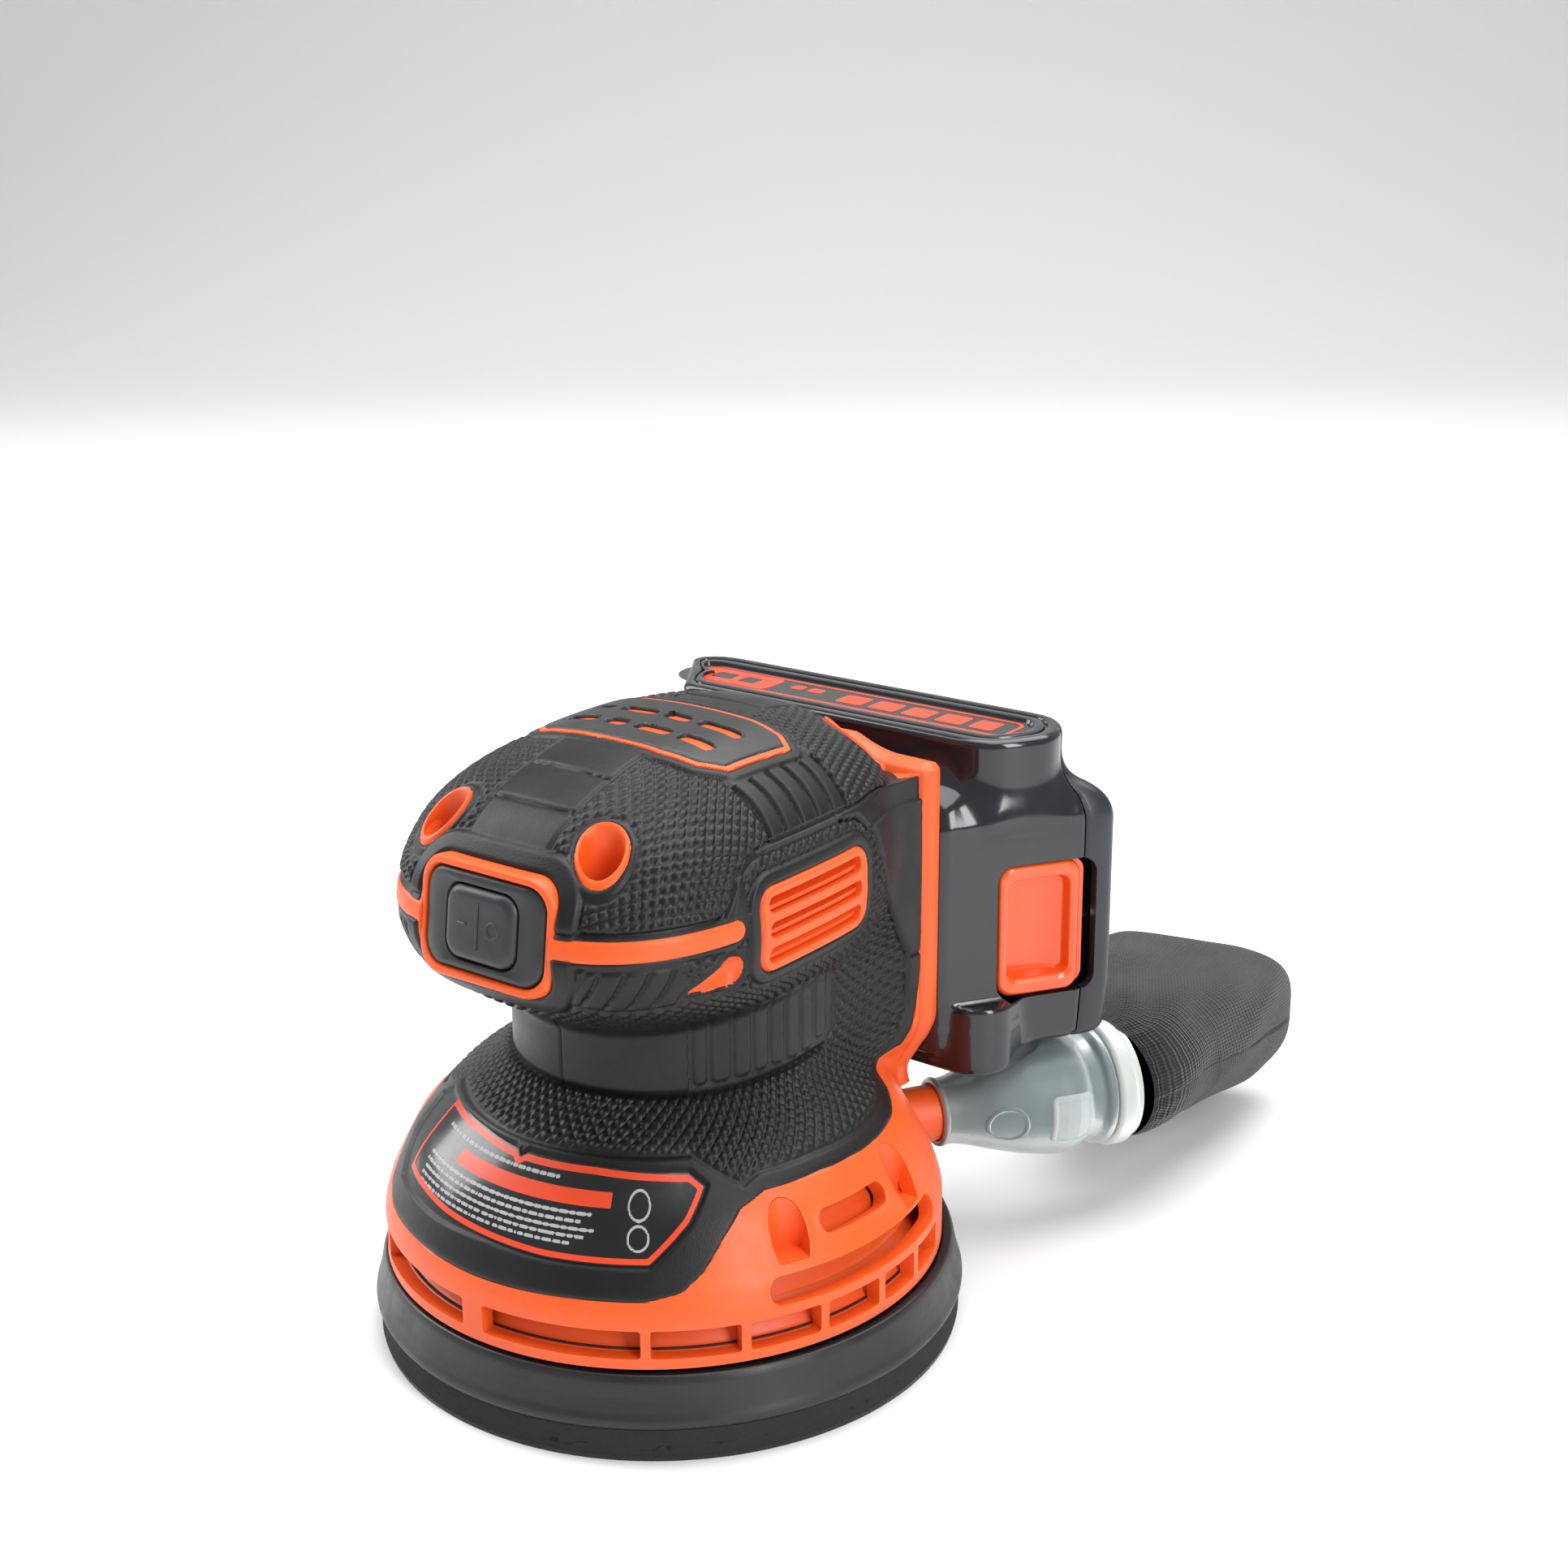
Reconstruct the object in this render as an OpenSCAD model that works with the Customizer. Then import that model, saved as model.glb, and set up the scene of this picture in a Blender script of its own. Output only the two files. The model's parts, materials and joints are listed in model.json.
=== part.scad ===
// Cordless random orbital sander for 125 mm discs, with a sliding pack and a dust bag.
// Frame: +Z up, origin at the middle of the pad face, switch towards -Y, pack at +Y.

/* [Pad] */
// Radius of the foam face
pad_r = 62.5; // [61:0.5:64]
// Orbit radius, the offset of the pad from the motor axis
orbit_r = 1.2; // [0.8:0.1:1.4]
// Pitch circle diameter of the dust holes
dust_pcd = 65; // [60:1:70]
// Number of dust holes
dust_holes = 8; // [6:1:8]
// Radius of a dust hole
dust_hole_r = 4.5; // [3.5:0.5:5]

/* [Body] */
// Radius of the vented ring at the base
base_r = 59.6; // [58.6:0.2:60]
// Radius of the neck that the hand closes on
neck_r = 31; // [30.5:0.5:32]
// Thickness of the soft grip
grip_t = 0.9; // [0.7:0.1:1.2]
// Wall thickness of the clamshell
wall = 2.3; // [1.8:0.1:2.5]
// Height of the parting between the clamshell and the top cap
cap_z = 102; // [101:0.5:103]

/* [Pack] */
// Half length of the pack at its back
pack_half = 58.8; // [57:0.2:60]
// Height of the label ridge on the pack
pack_top = 121.4; // [120:0.2:123]
// Radius of a cell
cell_r = 9.1; // [8.8:0.1:9.2]

/* [Dust] */
// Direction of the dust port, measured from +Y towards +X
port_angle = 32; // [31:1:33]
// Height of the dust port above the pad face
port_z = 31; // [30:0.5:31]

/* [Hidden] */

$fn = 64;
eps = 0.01;
orange = "orangered";
soft = "dimgray";
dark = "darkslategray";
steel = "silver";

// Heights of the rotating stack
foam_z = 1.2;
platen_z = 7;
platen_top = 18;
ring_z = 19.1;
bearing_z = 15;
bearing_h = 8;
bearing_ro = 13;
bearing_ri = 5;
fan_z = 25.4;
plate_z = 34.5;
can_z = 38;
can_top = 90;
can_r = 18.5;
shaft_r = 4;
bell_z = 98;

// Dust port, along its own axis from the mouth of the spigot
port_x = 30.5;
port_y = 57.9;
spigot_r = 6.4;
collar_s = 40.5;
collar_r = 14.4;
neck_end = collar_s + 6;

// Posts between the windows of the vented ring, in degrees from the front, and half a post's width
posts = [1.6, 36, 55, 71.5, 86.5, 99, 112];
post_half = 1.1;

// Lower corners of the column: half width, and the heights between which it widens
column_foot = 30.5;
column_half = 36.5;
column_flare = [47, 57];

// Cooling slots in the side vents
slot_z = 93.2;
slot_pitch = 5.1;
slot_h = 3.1;

// Pack layout
pack_y = 50.4;
pack_back = 86.8;
pack_seam = 79.5;
face_half = 36;
body_z = 51;
body_top = 101;
ridge_y0 = 53.4;
ridge_y1 = 82;
ridge_half = 54;
foot_z = 46.2;
foot_half = 47.6;
pack_wall = 1.5;
cell_y = 67.7;
cell_zigzag = 3.6;
cell_pitch = 16.9;
cell_h = 65;
channel_y = 51.9;
channel_back = 54.2;
face_x = pack_half - face_half;
face_y = pack_back - 2.1 - pack_y;
face_turn = atan2(face_y, face_x);
face_nx = sin(face_turn);
face_ny = -cos(face_turn);
button_s = 15.2;
button_w = 17.6;
button_gap = 21.4;
button_z = 62;
button_h = 28;
scoop_r = 7.2;
scoop_depth = 5.5;

// Switch panel
switch_y = -50.2;
switch_z = 103.2;
switch_tilt = 8;
rocker_pivot = -1;

// Where the soft grip ends in front of the rear trim
trim_y = 45.4;

// Wells for the cap screws
well_x = 20.3;
well_y = 39.3;
well_r = 4.7;

// Sides of the lofted head
head_sides = 40;

// One level of the head: height, half width, front, back, squareness
head_levels = [
    [79.5, 32, -35.6, 46, 2.3],
    [84, 36.4, -42.8, 46.8, 2.55],
    [91, 40, -50.5, 47.6, 2.8],
    [99, 40.9, -52.8, 48, 2.9],
    [107, 40.4, -51.1, 48, 2.95],
    [115, 38.4, -46.3, 47.6, 2.95],
    [122, 33.2, -39.2, 44.4, 2.8],
    [127, 25.6, -28.6, 39, 2.55],
    [130.5, 14.5, -15.5, 27.5, 2.2]];

function level_pt(l, a, d) =
    let (k = 2 / l[4], w = l[1] - d, b = (l[3] - l[2]) / 2 - d, c = cos(a), s = sin(a))
    [w * sign(c) * pow(abs(c), k), (l[3] + l[2]) / 2 + b * sign(s) * pow(abs(s), k)];

function flare(d) = [[base_r - d, ring_z], [base_r - d, 31.5], [57 - d, 37], [52 - d, 45],
    [46 - d, 51.5], [41 - d, 56], [35 - d, 60.5], [neck_r - d, 65], [neck_r - d, 84]];

// The head as one lofted body, d inside its outer skin
module head(d) {
    n = head_sides;
    last = len(head_levels) - 1;
    polyhedron(
        points = [for (l = head_levels, i = [0:n - 1])
            concat(level_pt(l, i * 360 / n, d), l[0] + (l[0] > 100 ? -d : d))],
        faces = concat(
            [[for (i = [0:n - 1]) i], [for (i = [n - 1:-1:0]) last * n + i]],
            [for (k = [0:last - 1], i = [0:n - 1]) let (j = (i + 1) % n)
                each [[k * n + i, k * n + n + i, k * n + j], [k * n + j, k * n + n + i, k * n + n + j]]]));
}

// Base flare and neck, d inside the outer skin
module flare_body(d, low = ring_z) {
    rotate_extrude()
        polygon(concat([[0, low]], [for (p = flare(d)) [p[0], max(p[1], low)]], [[0, 84]]));
}

// Column that joins the base to the head behind the neck
module column(d) {
    intersection() {
        translate([0, 0, 30 + d]) linear_extrude(86 - 2 * d)
            polygon([[-30 + d, 6], [-33.5 + d, 26], [-column_half + d, 38], [-column_half + d, 48 - d],
                [column_half - d, 48 - d], [column_half - d, 38], [33.5 - d, 26], [30 - d, 6]]);
        rotate([90, 0, 0]) linear_extrude(200, center = true)
            polygon([[-column_foot + d, 0], [-column_foot + d, column_flare[0]],
                [-column_half + d, column_flare[1]], [-column_half + d, 150],
                [column_half - d, 150], [column_half - d, column_flare[1]],
                [column_foot - d, column_flare[0]], [column_foot - d, 0]]);
    }
}

module half(side, z0 = 0, z1 = 200) {
    translate([side > 0 ? 0 : -100, -100, z0]) cube([100, 200, z1 - z0]);
}

module ring(ro, ri, z, h) {
    translate([0, 0, z]) difference() {
        cylinder(r = ro, h = h);
        translate([0, 0, -1]) cylinder(r = ri, h = h + 2);
    }
}

module round_rect(w, h, r) {
    hull() {
        for (x = [-1, 1], y = [-1, 1]) {
            translate([x * (w / 2 - r), y * (h / 2 - r)]) circle(r = r, $fn = 24);
        }
    }
}

module at_switch() {
    translate([0, switch_y, switch_z]) rotate([90 - switch_tilt, 0, 0]) children();
}

module at_port(s) {
    translate([port_x + s * sin(port_angle), port_y + s * cos(port_angle), port_z])
        rotate([0, 0, -port_angle]) rotate([-90, 0, 0]) children();
}

module at_pack_face() {
    translate([face_half, pack_y, 0]) rotate([0, 0, face_turn]) children();
}

module on_pad() {
    translate([0, orbit_r, 0]) children();
}

module dust_hole_set(z, h) {
    for (i = [0:dust_holes - 1]) {
        rotate([0, 0, (i + 0.5) * 360 / dust_holes]) translate([dust_pcd / 2, 0, z])
            cylinder(r = dust_hole_r, h = h);
    }
}

module pad_screw_set(r, z, h) {
    for (i = [0:2]) {
        rotate([0, 0, 30 + i * 120]) translate([15, 0, z]) cylinder(r = r, h = h);
    }
}

// ---- Pad, turning freely on the orbiting bearing ----

module hook_sheet() {
    color("black") on_pad() difference() {
        cylinder(r = pad_r - 0.3, h = foam_z);
        dust_hole_set(-1, 4);
        pad_screw_set(4.2, -1, 4);
    }
}

module foam_pad() {
    color(soft) on_pad() difference() {
        translate([0, 0, foam_z]) cylinder(r = pad_r, h = platen_z - foam_z);
        dust_hole_set(0, 10);
        pad_screw_set(4.2, 0, 10);
    }
}

module platen() {
    color("black") on_pad() difference() {
        rotate_extrude() polygon([[0, platen_z], [62.6, platen_z], [63.3, 8.6], [62.4, 11],
            [60.8, platen_top], [58.6, platen_top], [58.6, 10], [0, 10]]);
        dust_hole_set(6, 6);
        pad_screw_set(1.6, 6, 6);
        pad_screw_set(3.3, 6, 3);
    }
}

module pad_hub() {
    color(steel) on_pad() difference() {
        union() {
            translate([0, 0, 10]) cylinder(r = 20, h = 3);
            translate([0, 0, 13]) cylinder(r = 7.5, h = bearing_z - 13);
            translate([0, 0, bearing_z]) cylinder(r = bearing_ri, h = bearing_h);
        }
        pad_screw_set(1.6, 9, 5);
    }
}

module pad_screws() {
    color(steel) on_pad() {
        pad_screw_set(3.3, 6.6, 2.4);
        pad_screw_set(1.6, 9, 3.8);
    }
}

module pad_bearing_inner() {
    color(steel) on_pad() ring(7.2, bearing_ri, bearing_z, bearing_h);
}

// ---- Rotor ----

module pad_bearing_outer() {
    color(steel) on_pad() ring(bearing_ro, 7.6, bearing_z, bearing_h);
}

module counterweight() {
    color("gray") difference() {
        union() {
            on_pad() translate([0, 0, bearing_z]) cylinder(r = 17, h = fan_z - bearing_z);
            intersection() {
                ring(30, 10, 19, fan_z - 19);
                translate([-40, -40, 0]) cube([80, 30, 60]);
            }
        }
        on_pad() translate([0, 0, bearing_z - 1]) cylinder(r = bearing_ro, h = bearing_h + 1);
        translate([0, 0, bearing_z]) cylinder(r = shaft_r, h = 20);
    }
}

module fan() {
    color("dimgray") {
        ring(39, shaft_r, fan_z, 1.5);
        ring(9, shaft_r, fan_z + 1.5, 6);
        for (i = [0:8]) {
            rotate([0, 0, i * 40]) translate([8.8, -0.75, fan_z + 1.4]) cube([30, 1.5, 5.6]);
        }
    }
}

module shaft() {
    color(steel) translate([0, 0, bearing_z + bearing_h + 0.4]) cylinder(r = shaft_r, h = 76.6);
}

module armature() {
    color("slategray") difference() {
        ring(13.2, shaft_r, 50, 28);
        for (i = [0:4]) {
            rotate([0, 0, i * 72]) translate([10, 0, 49]) {
                cylinder(r = 2.2, h = 30);
                translate([0, -0.7, 0]) cube([5, 1.4, 30]);
            }
        }
    }
}

module windings() {
    color("chocolate") {
        ring(12.6, 5, 46.5, 3.5);
        ring(12.6, 5, 78, 3.5);
        for (i = [0:4]) {
            rotate([0, 0, i * 72]) translate([10, 0, 49.5]) cylinder(r = 2, h = 29);
        }
    }
}

module commutator() {
    color("peru") difference() {
        ring(6.5, shaft_r, 83, 9);
        for (i = [0:9]) {
            rotate([0, 0, i * 36]) translate([5.6, -0.25, 82]) cube([3, 0.5, 11]);
        }
    }
}

// ---- Motor ----

module motor_can() {
    color(steel) difference() {
        translate([0, 0, can_z]) cylinder(r = can_r, h = can_top - can_z);
        translate([0, 0, can_z + 1.6]) cylinder(r = can_r - 1.6, h = can_top);
        translate([0, 0, can_z - 1]) cylinder(r = 11, h = 5);
        for (a = [0:90:270]) {
            rotate([0, 0, a + 45]) translate([10, -3, can_z + 3]) cube([12, 6, 5]);
        }
    }
}

module magnets() {
    color("black") difference() {
        ring(can_r - 1.6, 13.8, 48, 34);
        for (a = [0, 90]) {
            rotate([0, 0, a + 45]) translate([-20, -3, 47]) cube([40, 6, 36]);
        }
    }
}

module lower_bearing() {
    color(steel) ring(11, shaft_r + 0.05, can_z, 5);
}

module upper_bush() {
    color("peru") ring(7, shaft_r + 0.05, 93.4, 4.6);
}

module end_bell() {
    color("black") difference() {
        translate([0, 0, can_top]) cylinder(r = can_r, h = bell_z - can_top);
        translate([0, 0, can_top - 1]) cylinder(r = 8.5, h = 3.4);
        translate([0, 0, can_top]) cylinder(r = 7, h = 20);
        for (a = [45:90:315]) {
            rotate([0, 0, a]) translate([11, -3, can_top - 1]) cube([5, 6, 20]);
        }
    }
}

module brushes() {
    color("dimgray") for (s = [-1, 1]) {
        translate([s > 0 ? 6.8 : -14.8, -2.5, 84.5]) cube([8, 5, 5.4]);
    }
}

module motor_plate() {
    color("dimgray") difference() {
        union() {
            ring(50, 12, plate_z, 2);
            ring(21, 12, plate_z + 2, can_z - plate_z - 2);
            ring(21, can_r, can_z, 6);
        }
        for (i = [0:7]) {
            rotate([0, 0, i * 45]) translate([34, 0, plate_z - 1]) cylinder(r = 5, h = 4);
        }
    }
}

module fan_shroud() {
    color("gray") difference() {
        union() {
            ring(50, 33, 22.4, 1.8);
            ring(46, 44, 24.2, plate_z - 24.2);
        }
        at_port(-30) cylinder(r = spigot_r - 1.8, h = 40);
    }
}

module brake_ring() {
    color("black") {
        ring(base_r - grip_t - wall - 0.1, 53, 18.6, 1.2);
        ring(base_r - grip_t - wall - 0.1, 54.6, 19.8, 2);
    }
}

// ---- Casings ----

module vent_window(a0, a1) {
    rotate([0, 0, a0 - 90]) rotate_extrude(angle = a1 - a0) translate([50, 21.4]) square([16, 5.6]);
}

module vent_windows() {
    for (i = [0:len(posts) - 2]) {
        vent_window(posts[i] + post_half, posts[i + 1] - post_half);
        vent_window(post_half - posts[i + 1], -posts[i] - post_half);
    }
}

module side_window(d) {
    for (x = [-54, 24]) {
        translate([x, 0.6, 99.8]) rotate([90, 0, 90]) linear_extrude(30)
            round_rect(34.5 + 2 * d, 16.8 + 2 * d, 4);
    }
}

module cap_wells(r, z0, z1) {
    for (x = [-1, 1], y = [-1, 1]) {
        translate([x * well_x, y * well_y, z0]) cylinder(r = r, h = z1 - z0);
    }
}

module switch_window(d) {
    at_switch() translate([0, 0, -20]) linear_extrude(40) round_rect(34 + 2 * d, 23 + 2 * d, 6);
}

module receiver_window(d) {
    translate([-31.8 - d, 40, 58 - d]) cube([63.6 + 2 * d, 20, 38 + 2 * d]);
}

module casing(side) {
    difference() {
        union() {
            difference() {
                union() {
                    flare_body(grip_t);
                    column(grip_t);
                    head(grip_t);
                }
                flare_body(grip_t + wall, ring_z - 1);
                column(grip_t + wall);
                intersection() {
                    head(grip_t + wall);
                    translate([-100, -100, 82]) cube([200, 200, 60]);
                }
                translate([-100, -100, cap_z]) cube([200, 200, 60]);
            }
            for (z = [62, 80]) {
                ring(neck_r - grip_t - 1, can_r, z, 2.5);
            }
            intersection() {
                head(grip_t);
                cap_wells(5.9, 84, cap_z);
            }
        }
        cap_wells(1.5, 80, 200);
        half(-side, 0, 200);
        vent_windows();
        side_window(0.1);
        switch_window(0.1);
        receiver_window(0.1);
        at_port(-12) cylinder(r = spigot_r - 1.8, h = 40);
    }
}

module housing_left() {
    color(orange) casing(-1);
}

module housing_right() {
    color(orange) {
        casing(1);
        difference() {
            at_port(-10) cylinder(r = spigot_r, h = 22);
            at_port(-12) cylinder(r = spigot_r - 1.8, h = 40);
            flare_body(grip_t + wall / 2);
        }
    }
}

module grip(side) {
    intersection() {
        half(side, 32, cap_z - 2);
        difference() {
            union() {
                flare_body(0);
                column(0);
                head(0);
            }
            flare_body(grip_t);
            column(grip_t);
            head(grip_t);
            translate([-100, trim_y, 0]) cube([200, 60, 200]);
            side_window(0.1);
            switch_window(0.1);
            at_port(-20) cylinder(r = spigot_r + 4, h = 40);
        }
    }
}

module grip_left() {
    color(soft) grip(-1);
}

module grip_right() {
    color(soft) grip(1);
}

module top_cap() {
    color(orange) difference() {
        intersection() {
            difference() {
                head(grip_t);
                difference() {
                    head(grip_t + wall);
                    cap_wells(well_r + 1.5, 99, 140);
                }
            }
            translate([-100, -100, cap_z]) cube([200, 200, 60]);
        }
        cap_wells(well_r, cap_z + 2.5, 140);
        cap_wells(1.6, 90, 140);
        side_window(0.1);
        switch_window(0.1);
    }
}

module top_grip() {
    color(soft) difference() {
        intersection() {
            head(0);
            translate([-100, -100, cap_z + 2]) cube([200, 200, 60]);
        }
        head(grip_t);
        cap_wells(well_r, 90, 140);
        side_window(0.1);
        switch_window(0.1);
        translate([-100, trim_y, 0]) cube([200, 60, 200]);
    }
}

module badge_plate() {
    color("black") difference() {
        intersection() {
            head(-0.8);
            translate([0, 0.7, 100]) linear_extrude(60) round_rect(49.2, 25.4, 3.5);
        }
        head(0);
    }
}

module cap_screws() {
    color(steel) {
        cap_wells(3.4, cap_z + 2.5, cap_z + 4.6);
        cap_wells(1.5, 93, cap_z + 2.5);
    }
}

module case_screws() {
    color(steel) for (p = [[-27, 42], [24, 46], [-25, 92.9]]) {
        translate([-14, p[0], p[1]]) rotate([0, 90, 0]) cylinder(r = 1.5, h = 44);
    }
}

module vent(side) {
    difference() {
        intersection() {
            difference() {
                head(-0.4);
                head(grip_t + wall);
            }
            side_window(0);
            half(side, 80, 120);
        }
        for (i = [0:2]) {
            translate([-60, -13.8, slot_z + i * slot_pitch]) cube([120, 28, slot_h]);
        }
    }
}

module vent_left() {
    color(orange) vent(-1);
}

module vent_right() {
    color(orange) vent(1);
}

module rating_plate() {
    color("black") intersection() {
        difference() {
            flare_body(-0.3);
            flare_body(0);
        }
        rotate([0, 0, -128]) rotate_extrude(angle = 88) translate([40, 39.4]) square([24, 14.6]);
    }
}

// ---- Switch ----

module switch_surround() {
    color(orange) at_switch() difference() {
        translate([0, 0, -4]) linear_extrude(6.5) round_rect(34, 23, 6);
        translate([0, 0, -5]) linear_extrude(9) round_rect(30.4, 19.4, 4.6);
    }
}

module switch_boot() {
    color(dark) at_switch() difference() {
        translate([0, 0, -4]) linear_extrude(6.2) round_rect(30.4, 19.4, 4.6);
        translate([0, 0, -5]) linear_extrude(9) round_rect(17.2, 14.2, 3);
    }
}

module switch_rocker() {
    color(dark) at_switch() {
        translate([0, 0, -3]) linear_extrude(6.2) round_rect(15.6, 12.8, 2.6);
        translate([0, 0, rocker_pivot]) rotate([90, 0, 0]) cylinder(r = 1.2, h = 14, center = true);
    }
}

module switch_body() {
    color("black") at_switch() difference() {
        translate([-12.5, -8, -22]) cube([25, 16, 18]);
        translate([-8.6, -7.1, -6]) cube([17.2, 14.2, 4]);
    }
}

module wires() {
    for (s = [-1, 1]) {
        color(s > 0 ? "red" : "black") {
            translate([s * 5, -28, 100]) rotate([-90, 0, 0]) cylinder(r = 0.9, h = 68);
            translate([s * 5, 40, 84]) cylinder(r = 0.9, h = 17);
        }
    }
}

// ---- Rail and pack ----

module battery_receiver() {
    color("black") difference() {
        union() {
            translate([-31.8, 45.2, 58]) cube([63.6, 4.2, 38]);
            translate([-28, 49.4, 68]) cube([52, 2.8, 18]);
            translate([-28, 52.2, 65]) cube([52, 1.7, 24]);
        }
        for (z = [70, 77, 84]) {
            translate([8, 44, z - 0.4]) cube([20, 9, 0.8]);
        }
    }
}

module receiver_blades() {
    color("gold") for (z = [70, 77, 84]) {
        translate([8, 45.3, z - 0.4]) cube([16, 7.7, 0.8]);
        translate([24, 52.2, z - 0.4]) cube([8.5, 0.8, 0.8]);
    }
}

// Where the slanted end face, d inside, crosses a given y
function face_at(y, d) = face_half - (d + face_ny * (y - pack_y)) / face_nx;

module pack_plan(d) {
    front = face_at(pack_y + d, d);
    side_y = pack_y - (d + face_nx * (pack_half - d - face_half)) / face_ny;
    polygon([[-front, pack_y + d], [-pack_half + d, side_y], [-pack_half + d, pack_back - d],
        [pack_half - d, pack_back - d], [pack_half - d, side_y], [front, pack_y + d]]);
}

module pack_solid(d) {
    intersection() {
        translate([0, 0, 40]) linear_extrude(90) pack_plan(d);
        translate([-70, 0, 0]) rotate([90, 0, 90]) linear_extrude(140)
            polygon([[pack_y + d, body_z + d], [pack_y + d, body_top - 6], [ridge_y0 + d, body_top + 3],
                [ridge_y0 + d, pack_top - d], [ridge_y1 - d, pack_top - d], [ridge_y1 - d, body_top + 9],
                [pack_back - d, body_top], [pack_back - d, body_z + d], [ridge_y1 - d, body_z + d],
                [ridge_y1 - d, foot_z + d], [ridge_y0 + d, foot_z + d], [ridge_y0 + d, body_z + d]]);
        translate([0, 100, 0]) rotate([90, 0, 0]) linear_extrude(60)
            polygon([[-foot_half + d, foot_z + d], [-foot_half + d, body_z + d], [-60, body_z + d],
                [-60, body_top - 2], [-ridge_half + d, body_top + 8], [-ridge_half + d, pack_top - d],
                [ridge_half - d, pack_top - d], [ridge_half - d, body_top + 8], [60, body_top - 2],
                [60, body_z + d], [foot_half - d, body_z + d], [foot_half - d, foot_z + d]]);
    }
}

module button_window(d) {
    at_pack_face() translate([button_s - d, -6, button_z - d])
        cube([button_gap + d, 12, button_h + 2 * d]);
}

// T channel that slides over the rail, closed at the +X end by the contacts
module channel() {
    translate([-70, pack_y - 1, 67.4]) cube([97.4, 4, 19.2]);
    translate([-70, channel_y, 64.4]) cube([97.4, channel_back - channel_y, 25.2]);
    translate([27, channel_y, 66]) cube([8, channel_back - channel_y, 22]);
}

module cell_set(r, z, h) {
    for (i = [-2:2]) {
        translate([i * cell_pitch, cell_y + cell_zigzag * (i % 2 == 0 ? 1 : -1), z])
            cylinder(r = r, h = h);
    }
}

module pack_screw_set() {
    for (x = [-1, 1], z = [56, 96]) {
        translate([x * 50, pack_seam - 8, z]) rotate([-90, 0, 0]) cylinder(r = 1.4, h = 13);
    }
}

module pack_front() {
    color("black") difference() {
        intersection() {
            pack_solid(0);
            translate([-100, 0, 0]) cube([200, pack_seam, 200]);
        }
        difference() {
            pack_solid(pack_wall);
            translate([-100, 40, 62.4]) cube([136, channel_back + 0.6 - 40, 29.2]);
        }
        channel();
        button_window(0.4);
        pack_screw_set();
        translate([-47, 57, pack_top - 0.9]) cube([94, 19, 3]);
    }
}

module pack_rear() {
    color("dimgray") difference() {
        intersection() {
            pack_solid(0);
            translate([-100, pack_seam + eps, 0]) cube([200, 40, 200]);
        }
        pack_solid(pack_wall);
        button_window(0.4);
        pack_screw_set();
    }
}

module cells() {
    color("steelblue") cell_set(cell_r, 49.5, cell_h);
}

module cell_holder() {
    color("dimgray") difference() {
        for (z = [53, 106]) {
            translate([-38, 56, z]) cube([76, 24, 4]);
        }
        cell_set(cell_r, 40, 90);
    }
}

module pack_board() {
    color("green") translate([-40, 59, 115.6]) cube([80, 17, 1.2]);
}

module pack_terminals() {
    color("gold") difference() {
        translate([28, channel_y + 0.1, 66.2]) cube([6.8, channel_back - channel_y - 0.2, 21.6]);
        for (z = [70, 77, 84]) {
            translate([27, channel_y - 1, z - 0.9]) cube([7, 2.9, 1.8]);
        }
    }
}

module pack_screws() {
    color(steel) pack_screw_set();
}

module pack_label() {
    color("black") translate([-46.5, 57.3, pack_top - 0.85]) cube([93, 18.4, 0.6]);
}

module release_button() {
    mid = button_s + 1.2 + button_w / 2;
    color(orange) at_pack_face() difference() {
        union() {
            translate([button_s + 0.4, 0.2, button_z + 0.4]) cube([button_w, 2, button_h - 0.8]);
            intersection() {
                translate([mid, scoop_depth - scoop_r, button_z + 2])
                    cylinder(r = scoop_r + 0.8, h = button_h - 4);
                translate([button_s, 0.2, 0]) cube([20, 12, 200]);
            }
        }
        translate([mid, scoop_depth - scoop_r, button_z + 3.2]) cylinder(r = scoop_r, h = button_h - 6.4);
    }
}

module release_spring() {
    color(steel) translate([52, pack_seam, button_z + button_h / 2]) rotate([-90, 0, 0])
        ring(1.2, 0.8, 0, 5.7);
}

// ---- Dust extraction ----

module dust_adapter() {
    color("lightslategray", 0.6) difference() {
        at_port(0) rotate_extrude() polygon([[0, 1], [7.6, 1], [7.8, 4], [10.2, 11], [12.8, 19.5],
            [14.3, 28], [14.2, 31], [12.4, 34], [12.4, neck_end], [0, neck_end]]);
        at_port(-1) rotate_extrude() polygon([[0, 0], [spigot_r + 0.1, 0], [spigot_r + 0.1, 14],
            [11.2, 21], [12.9, 29], [12.6, 32], [11, 35], [11, 60], [0, 60]]);
    }
}

module adapter_rim() {
    color("gray") at_port(0) ring(7.8, spigot_r + 0.1, -0.4, 1.4);
}

module bag_collar() {
    color("ghostwhite") at_port(collar_s) {
        ring(collar_r, 12.5, 0, 4.8);
        ring(collar_r - 1.2, 12.5, 4.8, 1.5);
    }
}

module dust_bag() {
    color("black") difference() {
        hull() {
            at_port(collar_s + 4.9) cylinder(r = collar_r - 0.2, h = 3, $fn = 32);
            translate([36, 148, 24]) scale([1, 0.5, 0.7]) sphere(r = 28, $fn = 32);
            translate([12, 152, 8]) cube([48, 20, 32]);
        }
        at_port(collar_s + 4.3) cylinder(r = collar_r - 1.15, h = 6.9);
    }
}

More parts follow.
